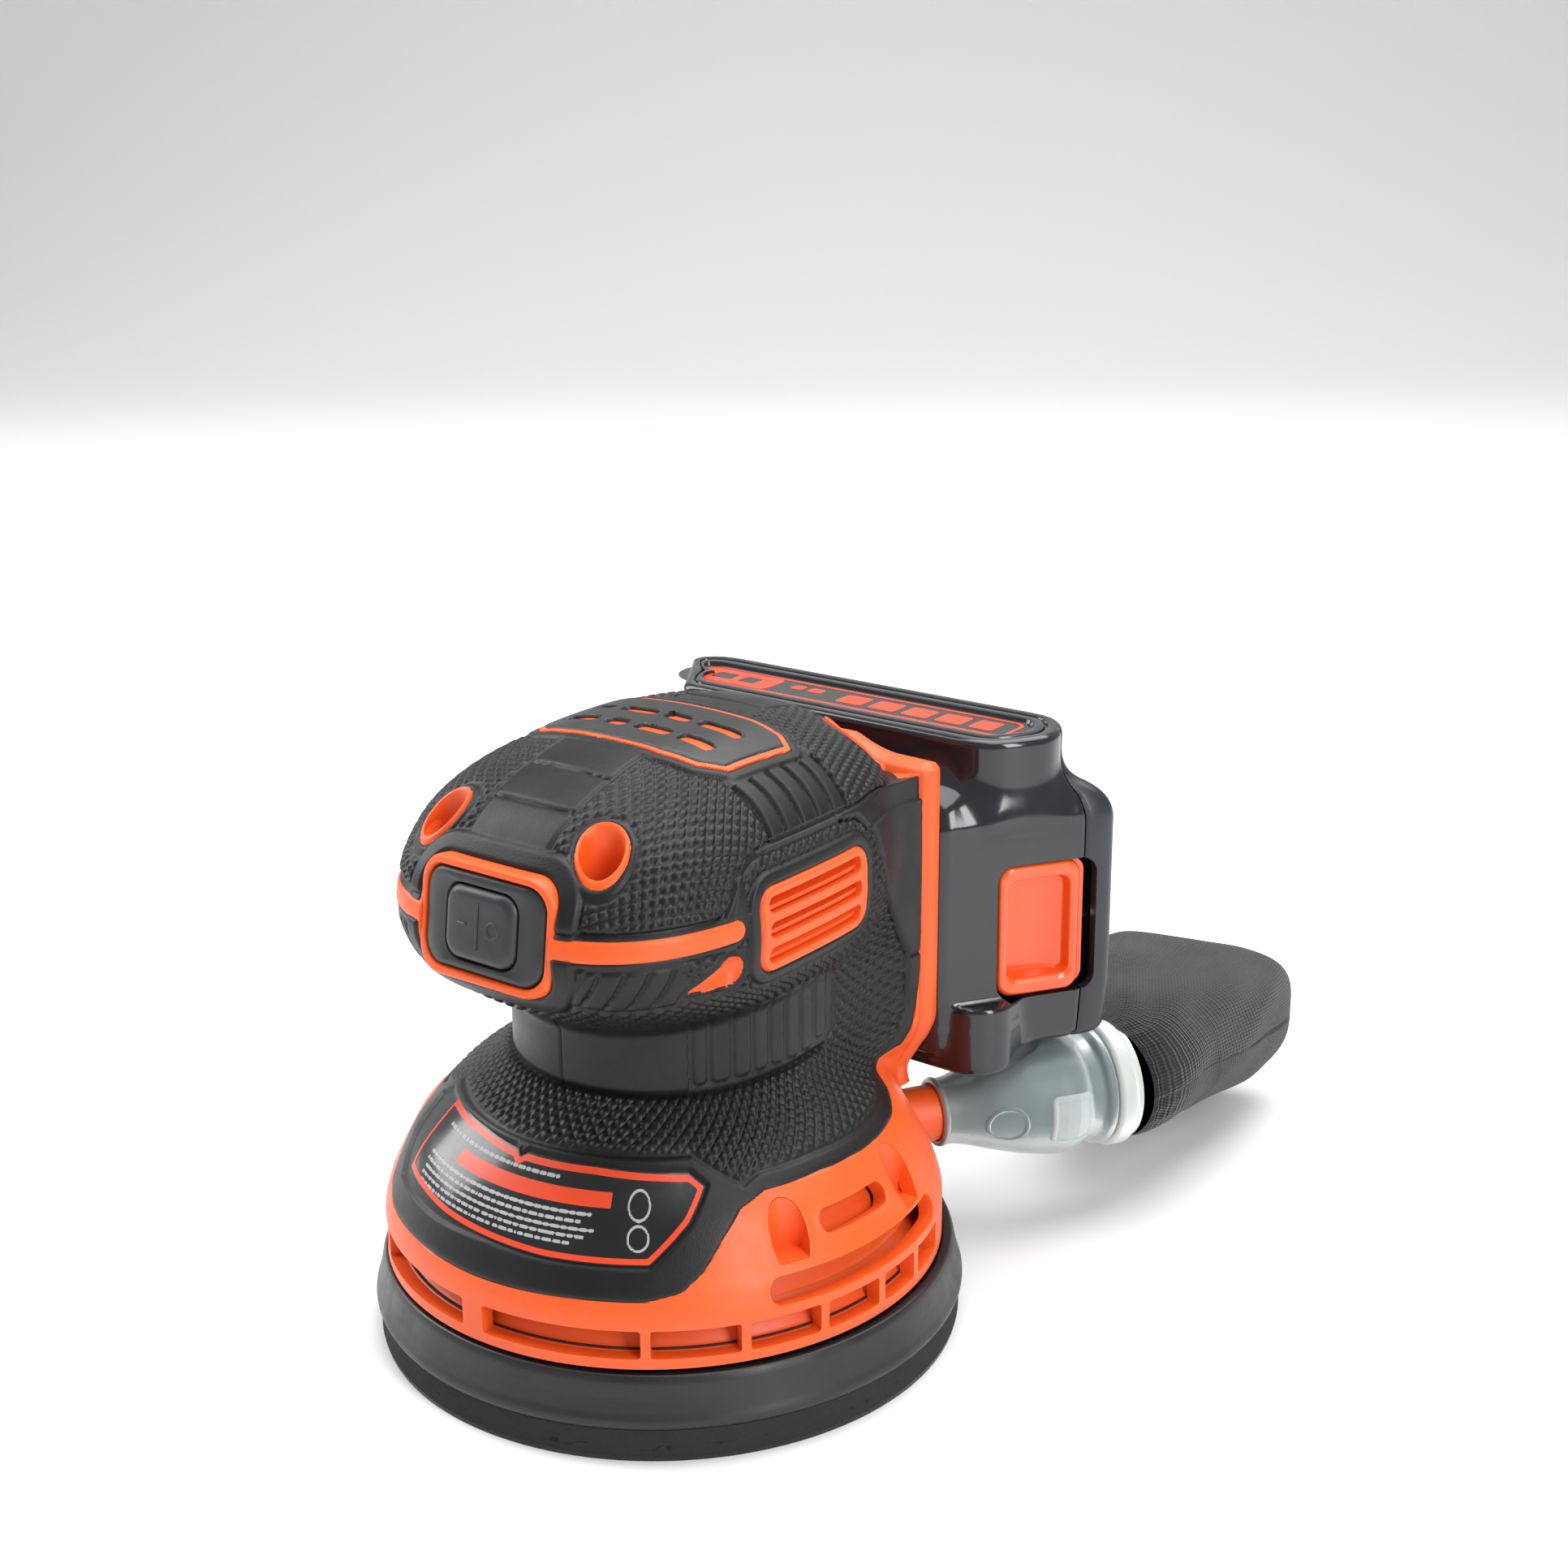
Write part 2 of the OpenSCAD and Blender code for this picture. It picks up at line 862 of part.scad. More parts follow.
hook_sheet();
foam_pad();
platen();
pad_hub();
pad_screws();
pad_bearing_inner();
pad_bearing_outer();
counterweight();
fan();
shaft();
armature();
windings();
commutator();
motor_can();
magnets();
lower_bearing();
upper_bush();
end_bell();
brushes();
motor_plate();
fan_shroud();
brake_ring();
housing_left();
housing_right();
grip_left();
grip_right();
top_cap();
top_grip();
badge_plate();
cap_screws();
case_screws();
vent_left();
vent_right();
rating_plate();
switch_surround();
switch_boot();
switch_rocker();
switch_body();
wires();
battery_receiver();
receiver_blades();
pack_front();
pack_rear();
cells();
cell_holder();
pack_board();
pack_terminals();
pack_screws();
pack_label();
release_button();
release_spring();
dust_adapter();
adapter_rim();
bag_collar();
dust_bag();
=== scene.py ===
import json
import math

import bpy
import numpy as np
from mathutils import Matrix, Vector


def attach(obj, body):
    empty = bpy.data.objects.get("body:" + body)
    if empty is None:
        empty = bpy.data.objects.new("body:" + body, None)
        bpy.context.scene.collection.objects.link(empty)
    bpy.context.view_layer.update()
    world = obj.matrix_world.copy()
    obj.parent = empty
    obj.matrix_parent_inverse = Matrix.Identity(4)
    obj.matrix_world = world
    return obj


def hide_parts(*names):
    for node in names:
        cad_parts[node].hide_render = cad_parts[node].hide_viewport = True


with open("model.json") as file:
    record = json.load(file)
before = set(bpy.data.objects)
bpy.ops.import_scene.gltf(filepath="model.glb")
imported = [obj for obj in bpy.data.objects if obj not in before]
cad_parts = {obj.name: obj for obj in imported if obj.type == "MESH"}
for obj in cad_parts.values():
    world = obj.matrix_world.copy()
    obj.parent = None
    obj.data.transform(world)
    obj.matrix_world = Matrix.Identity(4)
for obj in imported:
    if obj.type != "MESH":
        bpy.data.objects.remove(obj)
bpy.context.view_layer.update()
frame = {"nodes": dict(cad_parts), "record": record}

MM = 0.001
scene = bpy.context.scene
scene.view_settings.view_transform = "Standard"
rng = np.random.default_rng(7)


# ---------------------------------------------------------------- camera

def make_camera():
    turn, pitch, roll = math.radians(37.18), math.radians(17.70), math.radians(-0.51)
    forward = Vector((-math.sin(turn) * math.cos(pitch), math.cos(turn) * math.cos(pitch), -math.sin(pitch)))
    level = Vector((math.cos(turn), math.sin(turn), 0))
    rise = level.cross(forward)
    right = math.cos(roll) * level + math.sin(roll) * rise
    up = -math.sin(roll) * level + math.cos(roll) * rise
    data = bpy.data.cameras.new("camera")
    data.lens = 53.66
    data.sensor_width = 36
    data.clip_start = 0.01
    cam = bpy.data.objects.new("camera", data)
    scene.collection.objects.link(cam)
    place = Matrix.Identity(4)
    for i, v in enumerate((right, up, -forward)):
        for k in range(3):
            place[k][i] = v[k]
    for k, v in enumerate((0.2945, -0.3448, 0.2624)):
        place[k][3] = v
    cam.matrix_world = place
    scene.camera = cam


make_camera()


# ---------------------------------------------------------------- materials

def node_tree(name):
    mat = bpy.data.materials.new(name)
    mat.use_nodes = True
    nt = mat.node_tree
    return mat, nt, nt.nodes["Principled BSDF"]


def add(nt, kind, **values):
    node = nt.nodes.new(kind)
    for key, value in values.items():
        if hasattr(node, key):
            setattr(node, key, value)
        else:
            node.inputs[key.replace("_", " ")].default_value = value
    return node


def noise(nt, where, scale, detail=2.0, rough=0.5):
    n = add(nt, "ShaderNodeTexNoise")
    n.inputs["Scale"].default_value = scale
    n.inputs["Detail"].default_value = detail
    n.inputs["Roughness"].default_value = rough
    nt.links.new(where, n.inputs["Vector"])
    return n.outputs["Fac"]


def span(nt, value, lo, hi, a=0.3, b=0.7):
    m = add(nt, "ShaderNodeMapRange")
    m.inputs["From Min"].default_value = a
    m.inputs["From Max"].default_value = b
    m.inputs["To Min"].default_value = lo
    m.inputs["To Max"].default_value = hi
    nt.links.new(value, m.inputs["Value"])
    return m.outputs["Result"]


def surface(name, color, rough, grain=0.03, grain_scale=2600, var=0.12, rough_var=0.06,
            metal=0.0, coat=0.0, sheen=0.0, through=0.0, wear=0.25, spec=0.5, swirl=0.0, ior=1.5, wave=0.0):
    """Moulded or machined surface: a fine grain in the bump, slow changes of colour and roughness, paler edges."""
    mat, nt, bsdf = node_tree(name)
    coord = add(nt, "ShaderNodeTexCoord").outputs["Object"]
    slow = noise(nt, coord, 38, 3.0)
    fine = noise(nt, coord, grain_scale, 2.0, 0.6)
    smudge = noise(nt, coord, 130, 4.0, 0.65)
    dark = [c * (1 - var) for c in color] + [1]
    light = [min(1, c * (1 + var) + 0.004) for c in color] + [1]
    mix = add(nt, "ShaderNodeMix", data_type="RGBA")
    mix.inputs[6].default_value = dark
    mix.inputs[7].default_value = light
    nt.links.new(span(nt, slow, 0, 1), mix.inputs[0])
    geo = add(nt, "ShaderNodeNewGeometry")
    edge = add(nt, "ShaderNodeMix", data_type="RGBA")
    edge.inputs[7].default_value = [min(1, c * (1 + 1.2 * wear) + 0.03 * wear) for c in color] + [1]
    nt.links.new(mix.outputs[2], edge.inputs[6])
    nt.links.new(span(nt, geo.outputs["Pointiness"], 0, 0.7, 0.52, 0.62), edge.inputs[0])
    nt.links.new(edge.outputs[2], bsdf.inputs["Base Color"])
    nt.links.new(span(nt, smudge, rough - rough_var, rough + rough_var), bsdf.inputs["Roughness"])
    bsdf.inputs["Metallic"].default_value = metal
    bsdf.inputs["Coat Weight"].default_value = coat
    bsdf.inputs["Coat Roughness"].default_value = 0.08
    bsdf.inputs["Sheen Weight"].default_value = sheen
    bsdf.inputs["Transmission Weight"].default_value = through
    bsdf.inputs["Specular IOR Level"].default_value = spec
    bsdf.inputs["IOR"].default_value = ior
    bump = add(nt, "ShaderNodeBump")
    bump.inputs["Strength"].default_value = 1.0
    bump.inputs["Distance"].default_value = grain * MM
    nt.links.new(fine, bump.inputs["Height"])
    last = bump
    if wave:
        second = add(nt, "ShaderNodeBump")
        second.inputs["Strength"].default_value = 1.0
        second.inputs["Distance"].default_value = wave * MM
        nt.links.new(smudge, second.inputs["Height"])
        nt.links.new(bump.outputs["Normal"], second.inputs["Normal"])
        last = second
    if swirl:
        rings = add(nt, "ShaderNodeTexWave", wave_type="RINGS", rings_direction="Z")
        rings.inputs["Scale"].default_value = 900
        rings.inputs["Distortion"].default_value = 0.6
        nt.links.new(coord, rings.inputs["Vector"])
        turned = add(nt, "ShaderNodeBump")
        turned.inputs["Distance"].default_value = swirl * MM
        nt.links.new(rings.outputs["Fac"], turned.inputs["Height"])
        nt.links.new(last.outputs["Normal"], turned.inputs["Normal"])
        last = turned
    nt.links.new(last.outputs["Normal"], bsdf.inputs["Normal"])
    return mat


def cloth(name):
    """Black woven mesh: two crossing yarns with small gaps, in the piece's own UV, with lint and sheen."""
    mat, nt, bsdf = node_tree(name)
    uv = add(nt, "ShaderNodeUVMap", uv_map="weave").outputs["UV"]
    sep = add(nt, "ShaderNodeSeparateXYZ")
    nt.links.new(uv, sep.inputs[0])

    def math_node(op, a, b=None):
        n = add(nt, "ShaderNodeMath", operation=op)
        for i, v in enumerate((a, b)):
            if v is None:
                continue
            if isinstance(v, (int, float)):
                n.inputs[i].default_value = v
            else:
                nt.links.new(v, n.inputs[i])
        return n.outputs[0]

    pitch = 1250.0
    u = math_node("MULTIPLY", sep.outputs[0], pitch * math.pi)
    v = math_node("MULTIPLY", sep.outputs[1], pitch * math.pi)
    plus = math_node("SINE", math_node("ADD", u, v))
    minus = math_node("SINE", math_node("SUBTRACT", u, v))
    knots = math_node("MULTIPLY", plus, minus)
    weft = math_node("SINE", math_node("MULTIPLY", v, 3.0))
    height = math_node("ADD", math_node("MULTIPLY", knots, 0.75), math_node("MULTIPLY", weft, 0.25))
    coord = add(nt, "ShaderNodeTexCoord").outputs["Object"]
    fuzz = noise(nt, coord, 3200, 2.0)
    slow = noise(nt, coord, 45, 3.0)
    mix = add(nt, "ShaderNodeMix", data_type="RGBA")
    mix.inputs[6].default_value = (0.004, 0.004, 0.005, 1)
    mix.inputs[7].default_value = (0.022, 0.022, 0.025, 1)
    nt.links.new(span(nt, height, 0, 1, -0.5, 0.8), mix.inputs[0])
    lint = add(nt, "ShaderNodeMix", data_type="RGBA", blend_type="ADD")
    lint.inputs[7].default_value = (0.012, 0.012, 0.013, 1)
    nt.links.new(mix.outputs[2], lint.inputs[6])
    nt.links.new(span(nt, slow, 0, 1, 0.4, 0.75), lint.inputs[0])
    nt.links.new(lint.outputs[2], bsdf.inputs["Base Color"])
    nt.links.new(span(nt, fuzz, 0.75, 0.95), bsdf.inputs["Roughness"])
    bsdf.inputs["Sheen Weight"].default_value = 0.25
    bsdf.inputs["Sheen Roughness"].default_value = 0.4
    bsdf.inputs["Specular IOR Level"].default_value = 0.25
    bump = add(nt, "ShaderNodeBump")
    bump.inputs["Distance"].default_value = 0.22 * MM
    nt.links.new(height, bump.inputs["Height"])
    fluff = add(nt, "ShaderNodeBump")
    fluff.inputs["Distance"].default_value = 0.05 * MM
    nt.links.new(fuzz, fluff.inputs["Height"])
    nt.links.new(bump.outputs["Normal"], fluff.inputs["Normal"])
    nt.links.new(fluff.outputs["Normal"], bsdf.inputs["Normal"])
    return mat


ORANGE = (0.76, 0.092, 0.009)
M = {
    "orange": surface("orange", ORANGE, 0.42, grain=0.02, var=0.05, wear=0.15, spec=0.45),
    "button": surface("button", (0.80, 0.085, 0.008), 0.2, grain=0.006, var=0.05, coat=0.4, wear=0.1),
    "rubber": surface("rubber", (0.0062, 0.0062, 0.0068), 0.42, grain=0.05, grain_scale=2300, var=0.2,
                      wear=0.4, spec=0.32),
    "rubber_fine": surface("rubber_fine", (0.010, 0.010, 0.011), 0.5, grain=0.045, grain_scale=3200, var=0.2,
                           wear=0.5),
    "plate": surface("plate", (0.014, 0.014, 0.015), 0.45, grain=0.04, grain_scale=2600, wear=0.5),
    "label": surface("label", (0.006, 0.006, 0.007), 0.22, grain=0.006, var=0.2, wear=0.1, coat=0.3),
    "label_red": surface("label_red", (0.70, 0.055, 0.012), 0.32, grain=0.008, var=0.06, wear=0.1),
    "label_grey": surface("label_grey", (0.36, 0.36, 0.37), 0.4, grain=0.008, var=0.1, wear=0.1),
    "gloss": surface("gloss", (0.0085, 0.009, 0.012), 0.13, grain=0.006, grain_scale=1500, var=0.2,
                     coat=0.25, wear=0.2, wave=0.02),
    "satin": surface("satin", (0.014, 0.0155, 0.019), 0.34, grain=0.02, grain_scale=2600, var=0.12, wear=0.3),
    "black": surface("black", (0.012, 0.012, 0.013), 0.42, grain=0.03, var=0.2, wear=0.4),
    "skirt": surface("skirt", (0.0062, 0.0062, 0.007), 0.40, grain=0.03, grain_scale=1800, var=0.25,
                     rough_var=0.09, wear=0.3, wave=0.03),
    "foam": surface("foam", (0.010, 0.010, 0.011), 0.9, grain=0.22, grain_scale=1500, var=0.3, wear=0.5,
                    spec=0.2, wave=0.15),
    "hook": surface("hook", (0.014, 0.014, 0.015), 0.95, grain=0.25, grain_scale=1900, var=0.3, sheen=0.4,
                    wear=0.2, spec=0.2),
    "boot": surface("boot", (0.018, 0.020, 0.023), 0.40, grain=0.012, grain_scale=1800, var=0.15, wear=0.3),
    "steel": surface("steel", (0.55, 0.55, 0.56), 0.28, grain=0.01, metal=1.0, var=0.08, wear=0.2,
                     swirl=0.01),
    "zinc": surface("zinc", (0.42, 0.42, 0.43), 0.42, grain=0.06, grain_scale=900, metal=0.9, var=0.12),
    "copper": surface("copper", (0.55, 0.22, 0.10), 0.3, grain=0.05, grain_scale=700, metal=1.0, var=0.15),
    "magnet": surface("magnet", (0.06, 0.06, 0.06), 0.55, grain=0.05, var=0.2),
    "carbon": surface("carbon", (0.05, 0.05, 0.05), 0.6, grain=0.04, var=0.2),
    "inner": surface("inner", (0.03, 0.03, 0.032), 0.5, grain=0.03, var=0.15),
    "wire": surface("wire", (0.30, 0.03, 0.02), 0.4, grain=0.01, var=0.1),
    "contact": surface("contact", (0.75, 0.55, 0.22), 0.25, grain=0.01, metal=1.0, var=0.1),
    "cell": surface("cell", (0.05, 0.16, 0.32), 0.3, grain=0.01, var=0.08),
    "board": surface("board", (0.01, 0.12, 0.05), 0.35, grain=0.02, var=0.15),
    "adapter": surface("adapter", (0.30, 0.37, 0.375), 0.36, grain=0.02, grain_scale=1400, var=0.06,
                       through=0.55, wear=0.1, ior=1.3, wave=0.03),
    "adapter_pale": surface("adapter_pale", (0.44, 0.49, 0.49), 0.5, grain=0.05, grain_scale=900, var=0.05,
                            through=0.2, wear=0.1, ior=1.3),
    "rim": surface("rim", (0.30, 0.31, 0.31), 0.4, grain=0.01, var=0.08, through=0.3, wear=0.1),
    "collar": surface("collar", (0.62, 0.66, 0.63), 0.36, grain=0.015, var=0.06, through=0.35, wear=0.05,
                      ior=1.35),
    "bag": cloth("bag"),
}
SLOT_LOOK = {
    "hook_black": "hook", "foam_black": "foam", "platen_black": "skirt", "steel": "steel",
    "cast_zinc": "zinc",
    "copper": "copper", "magnet": "magnet", "carbon": "carbon", "inner_plastic": "inner",
    "orange_plastic": "orange", "soft_grip": "rubber", "badge_black": "plate", "plate_black": "label",
    "switch_black": "boot", "seal_rubber": "rubber_fine", "wire": "wire", "contact": "contact",
    "pack_gloss": "gloss", "pack_satin": "satin", "cell_wrap": "cell", "board": "board",
    "button_orange": "button", "clear_grey": "adapter", "rim_grey": "rim", "collar_white": "collar",
    "bag_fabric": "bag"}


# ---------------------------------------------------------------- mesh helpers

def build(name, verts, faces, look, body, hides=(), sharp=35, uv=None):
    """One piece from vertices in mm. faces is a list of arrays of triangles and of quads."""
    mesh = bpy.data.meshes.new(name)
    verts = np.asarray(verts, float) * MM
    faces = [np.asarray(f, int) for f in faces if len(f)]
    loops = np.concatenate([f.ravel() for f in faces])
    counts = np.concatenate([np.full(len(f), f.shape[1]) for f in faces])
    mesh.vertices.add(len(verts))
    mesh.vertices.foreach_set("co", verts.ravel())
    mesh.loops.add(len(loops))
    mesh.loops.foreach_set("vertex_index", loops)
    mesh.polygons.add(len(counts))
    mesh.polygons.foreach_set("loop_start", np.concatenate([[0], np.cumsum(counts)[:-1]]))
    mesh.polygons.foreach_set("loop_total", counts)
    mesh.polygons.foreach_set("use_smooth", np.ones(len(counts), bool))
    mesh.update(calc_edges=True)
    mesh.validate()
    if sharp:
        mesh.set_sharp_from_angle(angle=math.radians(sharp))
    if uv is not None:
        layer = mesh.uv_layers.new(name="weave")
        index = np.zeros(len(mesh.loops), int)
        mesh.loops.foreach_get("vertex_index", index)
        layer.data.foreach_set("uv", np.asarray(uv, float)[index].ravel())
    mesh.materials.append(M[look])
    obj = bpy.data.objects.new(name, mesh)
    scene.collection.objects.link(obj)
    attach(obj, body)
    if hides:
        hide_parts(*hides)
    return obj


def grid_faces(rows, cols, wrap=True):
    i, j = np.meshgrid(np.arange(rows - 1), np.arange(cols if wrap else cols - 1), indexing="ij")
    a = i * cols + j
    b = i * cols + (j + 1) % cols
    return np.stack([a, b, b + cols, a + cols], -1).reshape(-1, 4)


def triangles(quads):
    return np.concatenate([quads[:, [0, 1, 2]], quads[:, [0, 2, 3]]])


def clip(points, tris, f):
    """Keep the part of a triangle mesh where f >= 0. points carries any number of columns."""
    inside = f >= 0
    count = inside[tris].sum(1)
    keep = tris[count == 3]
    mixed = tris[(count == 1) | (count == 2)]
    n = len(points)
    if not len(mixed):
        return points, keep
    state = inside[mixed]
    lone = np.where(state.sum(1) == 1, state.argmax(1), (~state).argmax(1))
    rolled = np.stack([mixed[np.arange(len(mixed)), (lone + k) % 3] for k in range(3)], 1)
    one = state.sum(1) == 1
    edges = np.concatenate([rolled[:, [0, 1]], rolled[:, [0, 2]]])
    key = np.sort(edges, 1)
    uniq, back = np.unique(key, axis=0, return_inverse=True)
    back = back.ravel()
    a, b = uniq[:, 0], uniq[:, 1]
    t = f[a] / (f[a] - f[b])
    fresh = points[a] * (1 - t)[:, None] + points[b] * t[:, None]
    p01 = n + back[:len(rolled)]
    p02 = n + back[len(rolled):]
    out = [keep, np.stack([rolled[one, 0], p01[one], p02[one]], 1),
           np.stack([p01[~one], rolled[~one, 1], rolled[~one, 2]], 1),
           np.stack([p01[~one], rolled[~one, 2], p02[~one]], 1)]
    return np.concatenate([points, fresh]), np.concatenate(out)


def compact(points, tris):
    used, back = np.unique(tris, return_inverse=True)
    return points[used], back.reshape(tris.shape)


def border(tris):
    """The directed edges that only one triangle uses."""
    e = np.concatenate([tris[:, [0, 1]], tris[:, [1, 2]], tris[:, [2, 0]]])
    key = np.sort(e, 1)
    _, first, counts = np.unique(key, axis=0, return_index=True, return_counts=True)
    return e[first[counts == 1]]


def walls(verts, normals, tris, depth, inner=0.0):
    """Verts and quads of a wall that goes depth mm inwards from every open edge."""
    e = border(tris)
    ids, back = np.unique(e, return_inverse=True)
    e = back.reshape(e.shape)
    top = verts[ids]
    low = top - normals[ids] * depth
    base = len(verts)
    new = np.concatenate([verts, low])
    quads = np.stack([ids[e[:, 1]], ids[e[:, 0]], base + e[:, 0], base + e[:, 1]], 1)
    return new, quads


def smin(a, b, k):
    h = np.clip(0.5 + 0.5 * (b - a) / k, 0, 1)
    return b * (1 - h) + a * h - k * h * (1 - h)


def smax(a, b, k):
    return -smin(-a, -b, k)


def step(x, lo, hi):
    t = np.clip((x - lo) / (hi - lo), 0, 1)
    return t * t * (3 - 2 * t)


def rbox(u, v, cu, cv, hu, hv, r):
    """Distance to a rounded rectangle, negative inside."""
    qu = np.abs(u - cu) - hu + r
    qv = np.abs(v - cv) - hv + r
    return np.hypot(np.maximum(qu, 0), np.maximum(qv, 0)) + np.minimum(np.maximum(qu, qv), 0) - r


def poly(u, v, pts, r=0.0):
    """Distance to a polygon, negative inside, with its corners rounded by r."""
    best = np.full(np.shape(u), 1e9)
    inside = np.zeros(np.shape(u), bool)
    pts = np.asarray(pts, float)
    for (ax, ay), (bx, by) in zip(pts, np.roll(pts, -1, 0)):
        dx, dy = bx - ax, by - ay
        t = np.clip(((u - ax) * dx + (v - ay) * dy) / (dx * dx + dy * dy), 0, 1)
        best = np.minimum(best, np.hypot(u - ax - t * dx, v - ay - t * dy))
        cross = (ay > v) != (by > v)
        with np.errstate(all="ignore"):
            inside ^= cross & (u < ax + (v - ay) * dx / (dy if dy else 1e-9))
    return np.where(inside, -best, best) - r


def line(u, v, pts):
    """Distance to an open polyline."""
    best = np.full(np.shape(u), 1e9)
    for (ax, ay), (bx, by) in zip(pts[:-1], pts[1:]):
        dx, dy = bx - ax, by - ay
        t = np.clip(((u - ax) * dx + (v - ay) * dy) / (dx * dx + dy * dy), 0, 1)
        best = np.minimum(best, np.hypot(u - ax - t * dx, v - ay - t * dy))
    return best


def curve(x, y, q):
    """Monotone cubic through the points (x, y)."""
    x, y, q = (np.asarray(v, float) for v in (x, y, q))
    h = np.diff(x)
    d = np.diff(y) / h
    m = np.zeros_like(y)
    w1, w2 = 2 * h[1:] + h[:-1], 2 * h[:-1] + h[1:]
    with np.errstate(all="ignore"):
        m[1:-1] = np.where(d[1:] * d[:-1] > 0, (w1 + w2) / (w1 / d[:-1] + w2 / d[1:]), 0)
    m[0], m[-1] = d[0], d[-1]
    i = np.clip(np.searchsorted(x, q) - 1, 0, len(h) - 1)
    t = (q - x[i]) / h[i]
    return (y[i] * (1 + 2 * t) * (1 - t) ** 2 + m[i] * h[i] * t * (1 - t) ** 2
            + y[i + 1] * t * t * (3 - 2 * t) + m[i + 1] * h[i] * t * t * (t - 1))


def groove(d, width, depth):
    """A round groove along d = 0."""
    return -depth * np.exp(-(d / width) ** 2)


def bisect(outside, lo, hi, steps=24):
    """Where outside(t) turns true between lo and hi, for arrays."""
    for _ in range(steps):
        mid = (lo + hi) / 2
        out = outside(mid)
        hi = np.where(out, mid, hi)
        lo = np.where(out, lo, mid)
    return (lo + hi) / 2


def polar_skin(field, centre, z, cols, reach):
    """Points of the surface field = 0 on rays from the axis, one row for each height."""
    phi = (np.arange(cols) + 0.5) / cols * 2 * math.pi - math.pi
    P, Z = np.meshgrid(phi, z)
    C = np.repeat(centre(z)[:, None], cols, 1)
    cos, sin = np.cos(P), np.sin(P)
    r = bisect(lambda t: field(t * cos, C + t * sin, Z) > 0, np.full(P.shape, 0.05),
               np.full(P.shape, float(reach)))
    return np.stack([r * cos, C + r * sin, Z], -1), P


def row_heights(field, centre, z0, z1, pitch, reach, first=4000, sides=8):
    """Heights that follow each other pitch mm apart along the mean run of some meridians."""
    z = z0 + (z1 - z0) * (1 - np.cos(np.linspace(0, math.pi, first))) / 2
    S, _ = polar_skin(field, centre, z, sides, reach)
    run = np.linalg.norm(np.diff(S, axis=0), axis=-1).mean(1)
    s = np.concatenate([[0], np.cumsum(run)])
    n = int(s[-1] / pitch) + 1
    want = np.linspace(0, s[-1], n)
    return np.interp(want, s, z), want


def grid_normals(S):
    """Normals of a grid that is closed along its columns."""
    du = np.roll(S, -1, 1) - np.roll(S, 1, 1)
    dv = np.gradient(S, axis=0)
    n = np.cross(du, dv)
    return n / np.maximum(np.linalg.norm(n, axis=-1, keepdims=True), 1e-9)


# ---------------------------------------------------------------- casing

APEX = 131.29                    # top of the dome that is still gridded
WELL_X, WELL_Y = 20.3, 39.3
LEVELS = np.array([
    [72, 22, -24, 36, 2.2], [76, 27.5, -30, 42, 2.2], [79.5, 32, -35.6, 46, 2.3],
    [84, 36.4, -42.8, 46.8, 2.55],
    [91, 40, -50.5, 47.6, 2.8], [99, 40.9, -52.8, 48, 2.9], [107, 40.4, -51.1, 48, 2.95],
    [115, 38.4, -46.3, 47.6, 2.95], [122, 33.2, -39.2, 44.4, 2.8], [127, 25.6, -28.6, 39, 2.55],
    [130.5, 14.5, -15.5, 27.5, 2.2], [131.3, 0.5, 5.5, 6.5, 2.0]])
FLARE = np.array([[59.5, 19.1], [59.5, 28], [58.3, 33], [56.4, 37.2], [52.3, 44.6], [46, 51.5], [41, 56],
                 [35, 60.5], [31, 65], [31, 84]])
run = np.concatenate([[0],
                     np.cumsum(np.hypot(np.diff(LEVELS[:, 0]), np.diff(LEVELS[:, 2] - LEVELS[:, 3]) / 2))])
fine_t = np.linspace(0, run[-1], 1600)
fine_z = curve(run, LEVELS[:, 0], fine_t)


def head_sizes(z):
    t = np.interp(z, fine_z, fine_t)
    return [curve(run, LEVELS[:, i], t) for i in (1, 2, 3, 4)]


def casing_centre(z):
    _, front, back, _ = head_sizes(np.clip(z, 72, APEX))
    _, f84, b84, _ = head_sizes(np.array([84.0]))
    low = np.interp(z, [60, 84], [0, (f84[0] + b84[0]) / 2])
    return np.where(z > 84, (front + back) / 2, low)


def casing_field(x, y, z):
    x = np.abs(x)
    rows = z[:, 0]
    w, front, back, n = [v[:, None] for v in head_sizes(np.clip(rows, 72, APEX))]
    neck = np.hypot(x, y) - curve(FLARE[:, 1], FLARE[:, 0], np.clip(rows, 19.1, 84))[:, None]
    neck = np.where(z > 84, neck + (z - 84) * 2, neck)
    foot = curve([30, 40, 47, 51, 55, 60, 116], [8.5, 8, 6.4, 4.6, 2.0, 0.3, 0], np.clip(rows, 30, 116))[:,
                                                            None]
    s1 = (x + foot - 30 - (y - 6) * 0.175) / 1.015
    s2 = (x + foot - 33.5 - (y - 26) * 0.25) / 1.03
    side = smax(np.where(y < 26, s1, s2), x + foot - 36.5, 5)
    column = smax(side, y - 48, 3)
    column = smax(column, 4 - y, 3)
    column = smax(smax(column, 30 - z, 1), z - 116, 1)
    yc, hb = (front + back) / 2, (back - front) / 2
    head = ((np.abs(x / w) ** n + np.abs((y - yc) / hb) ** n) ** (1 / n) - 1) * np.minimum(w, hb)
    return smin(smin(neck, column, np.interp(rows, [50, 60], [4, 8])[:, None]), head, 3)


def skin(name, points, normals, tris, f, depth, look, body, hides=(), sharp=40):
    """A piece from the part of a surface where f is positive, depth mm thick."""
    data = np.concatenate([np.reshape(points, (-1, 3)), np.reshape(normals, (-1, 3))], 1)
    Q, U = compact(*clip(data, tris, np.ravel(f)))
    V, W = walls(Q[:, :3], Q[:, 3:6], U, depth)
    return build(name, V, [U, W], look, body, hides, sharp=sharp)


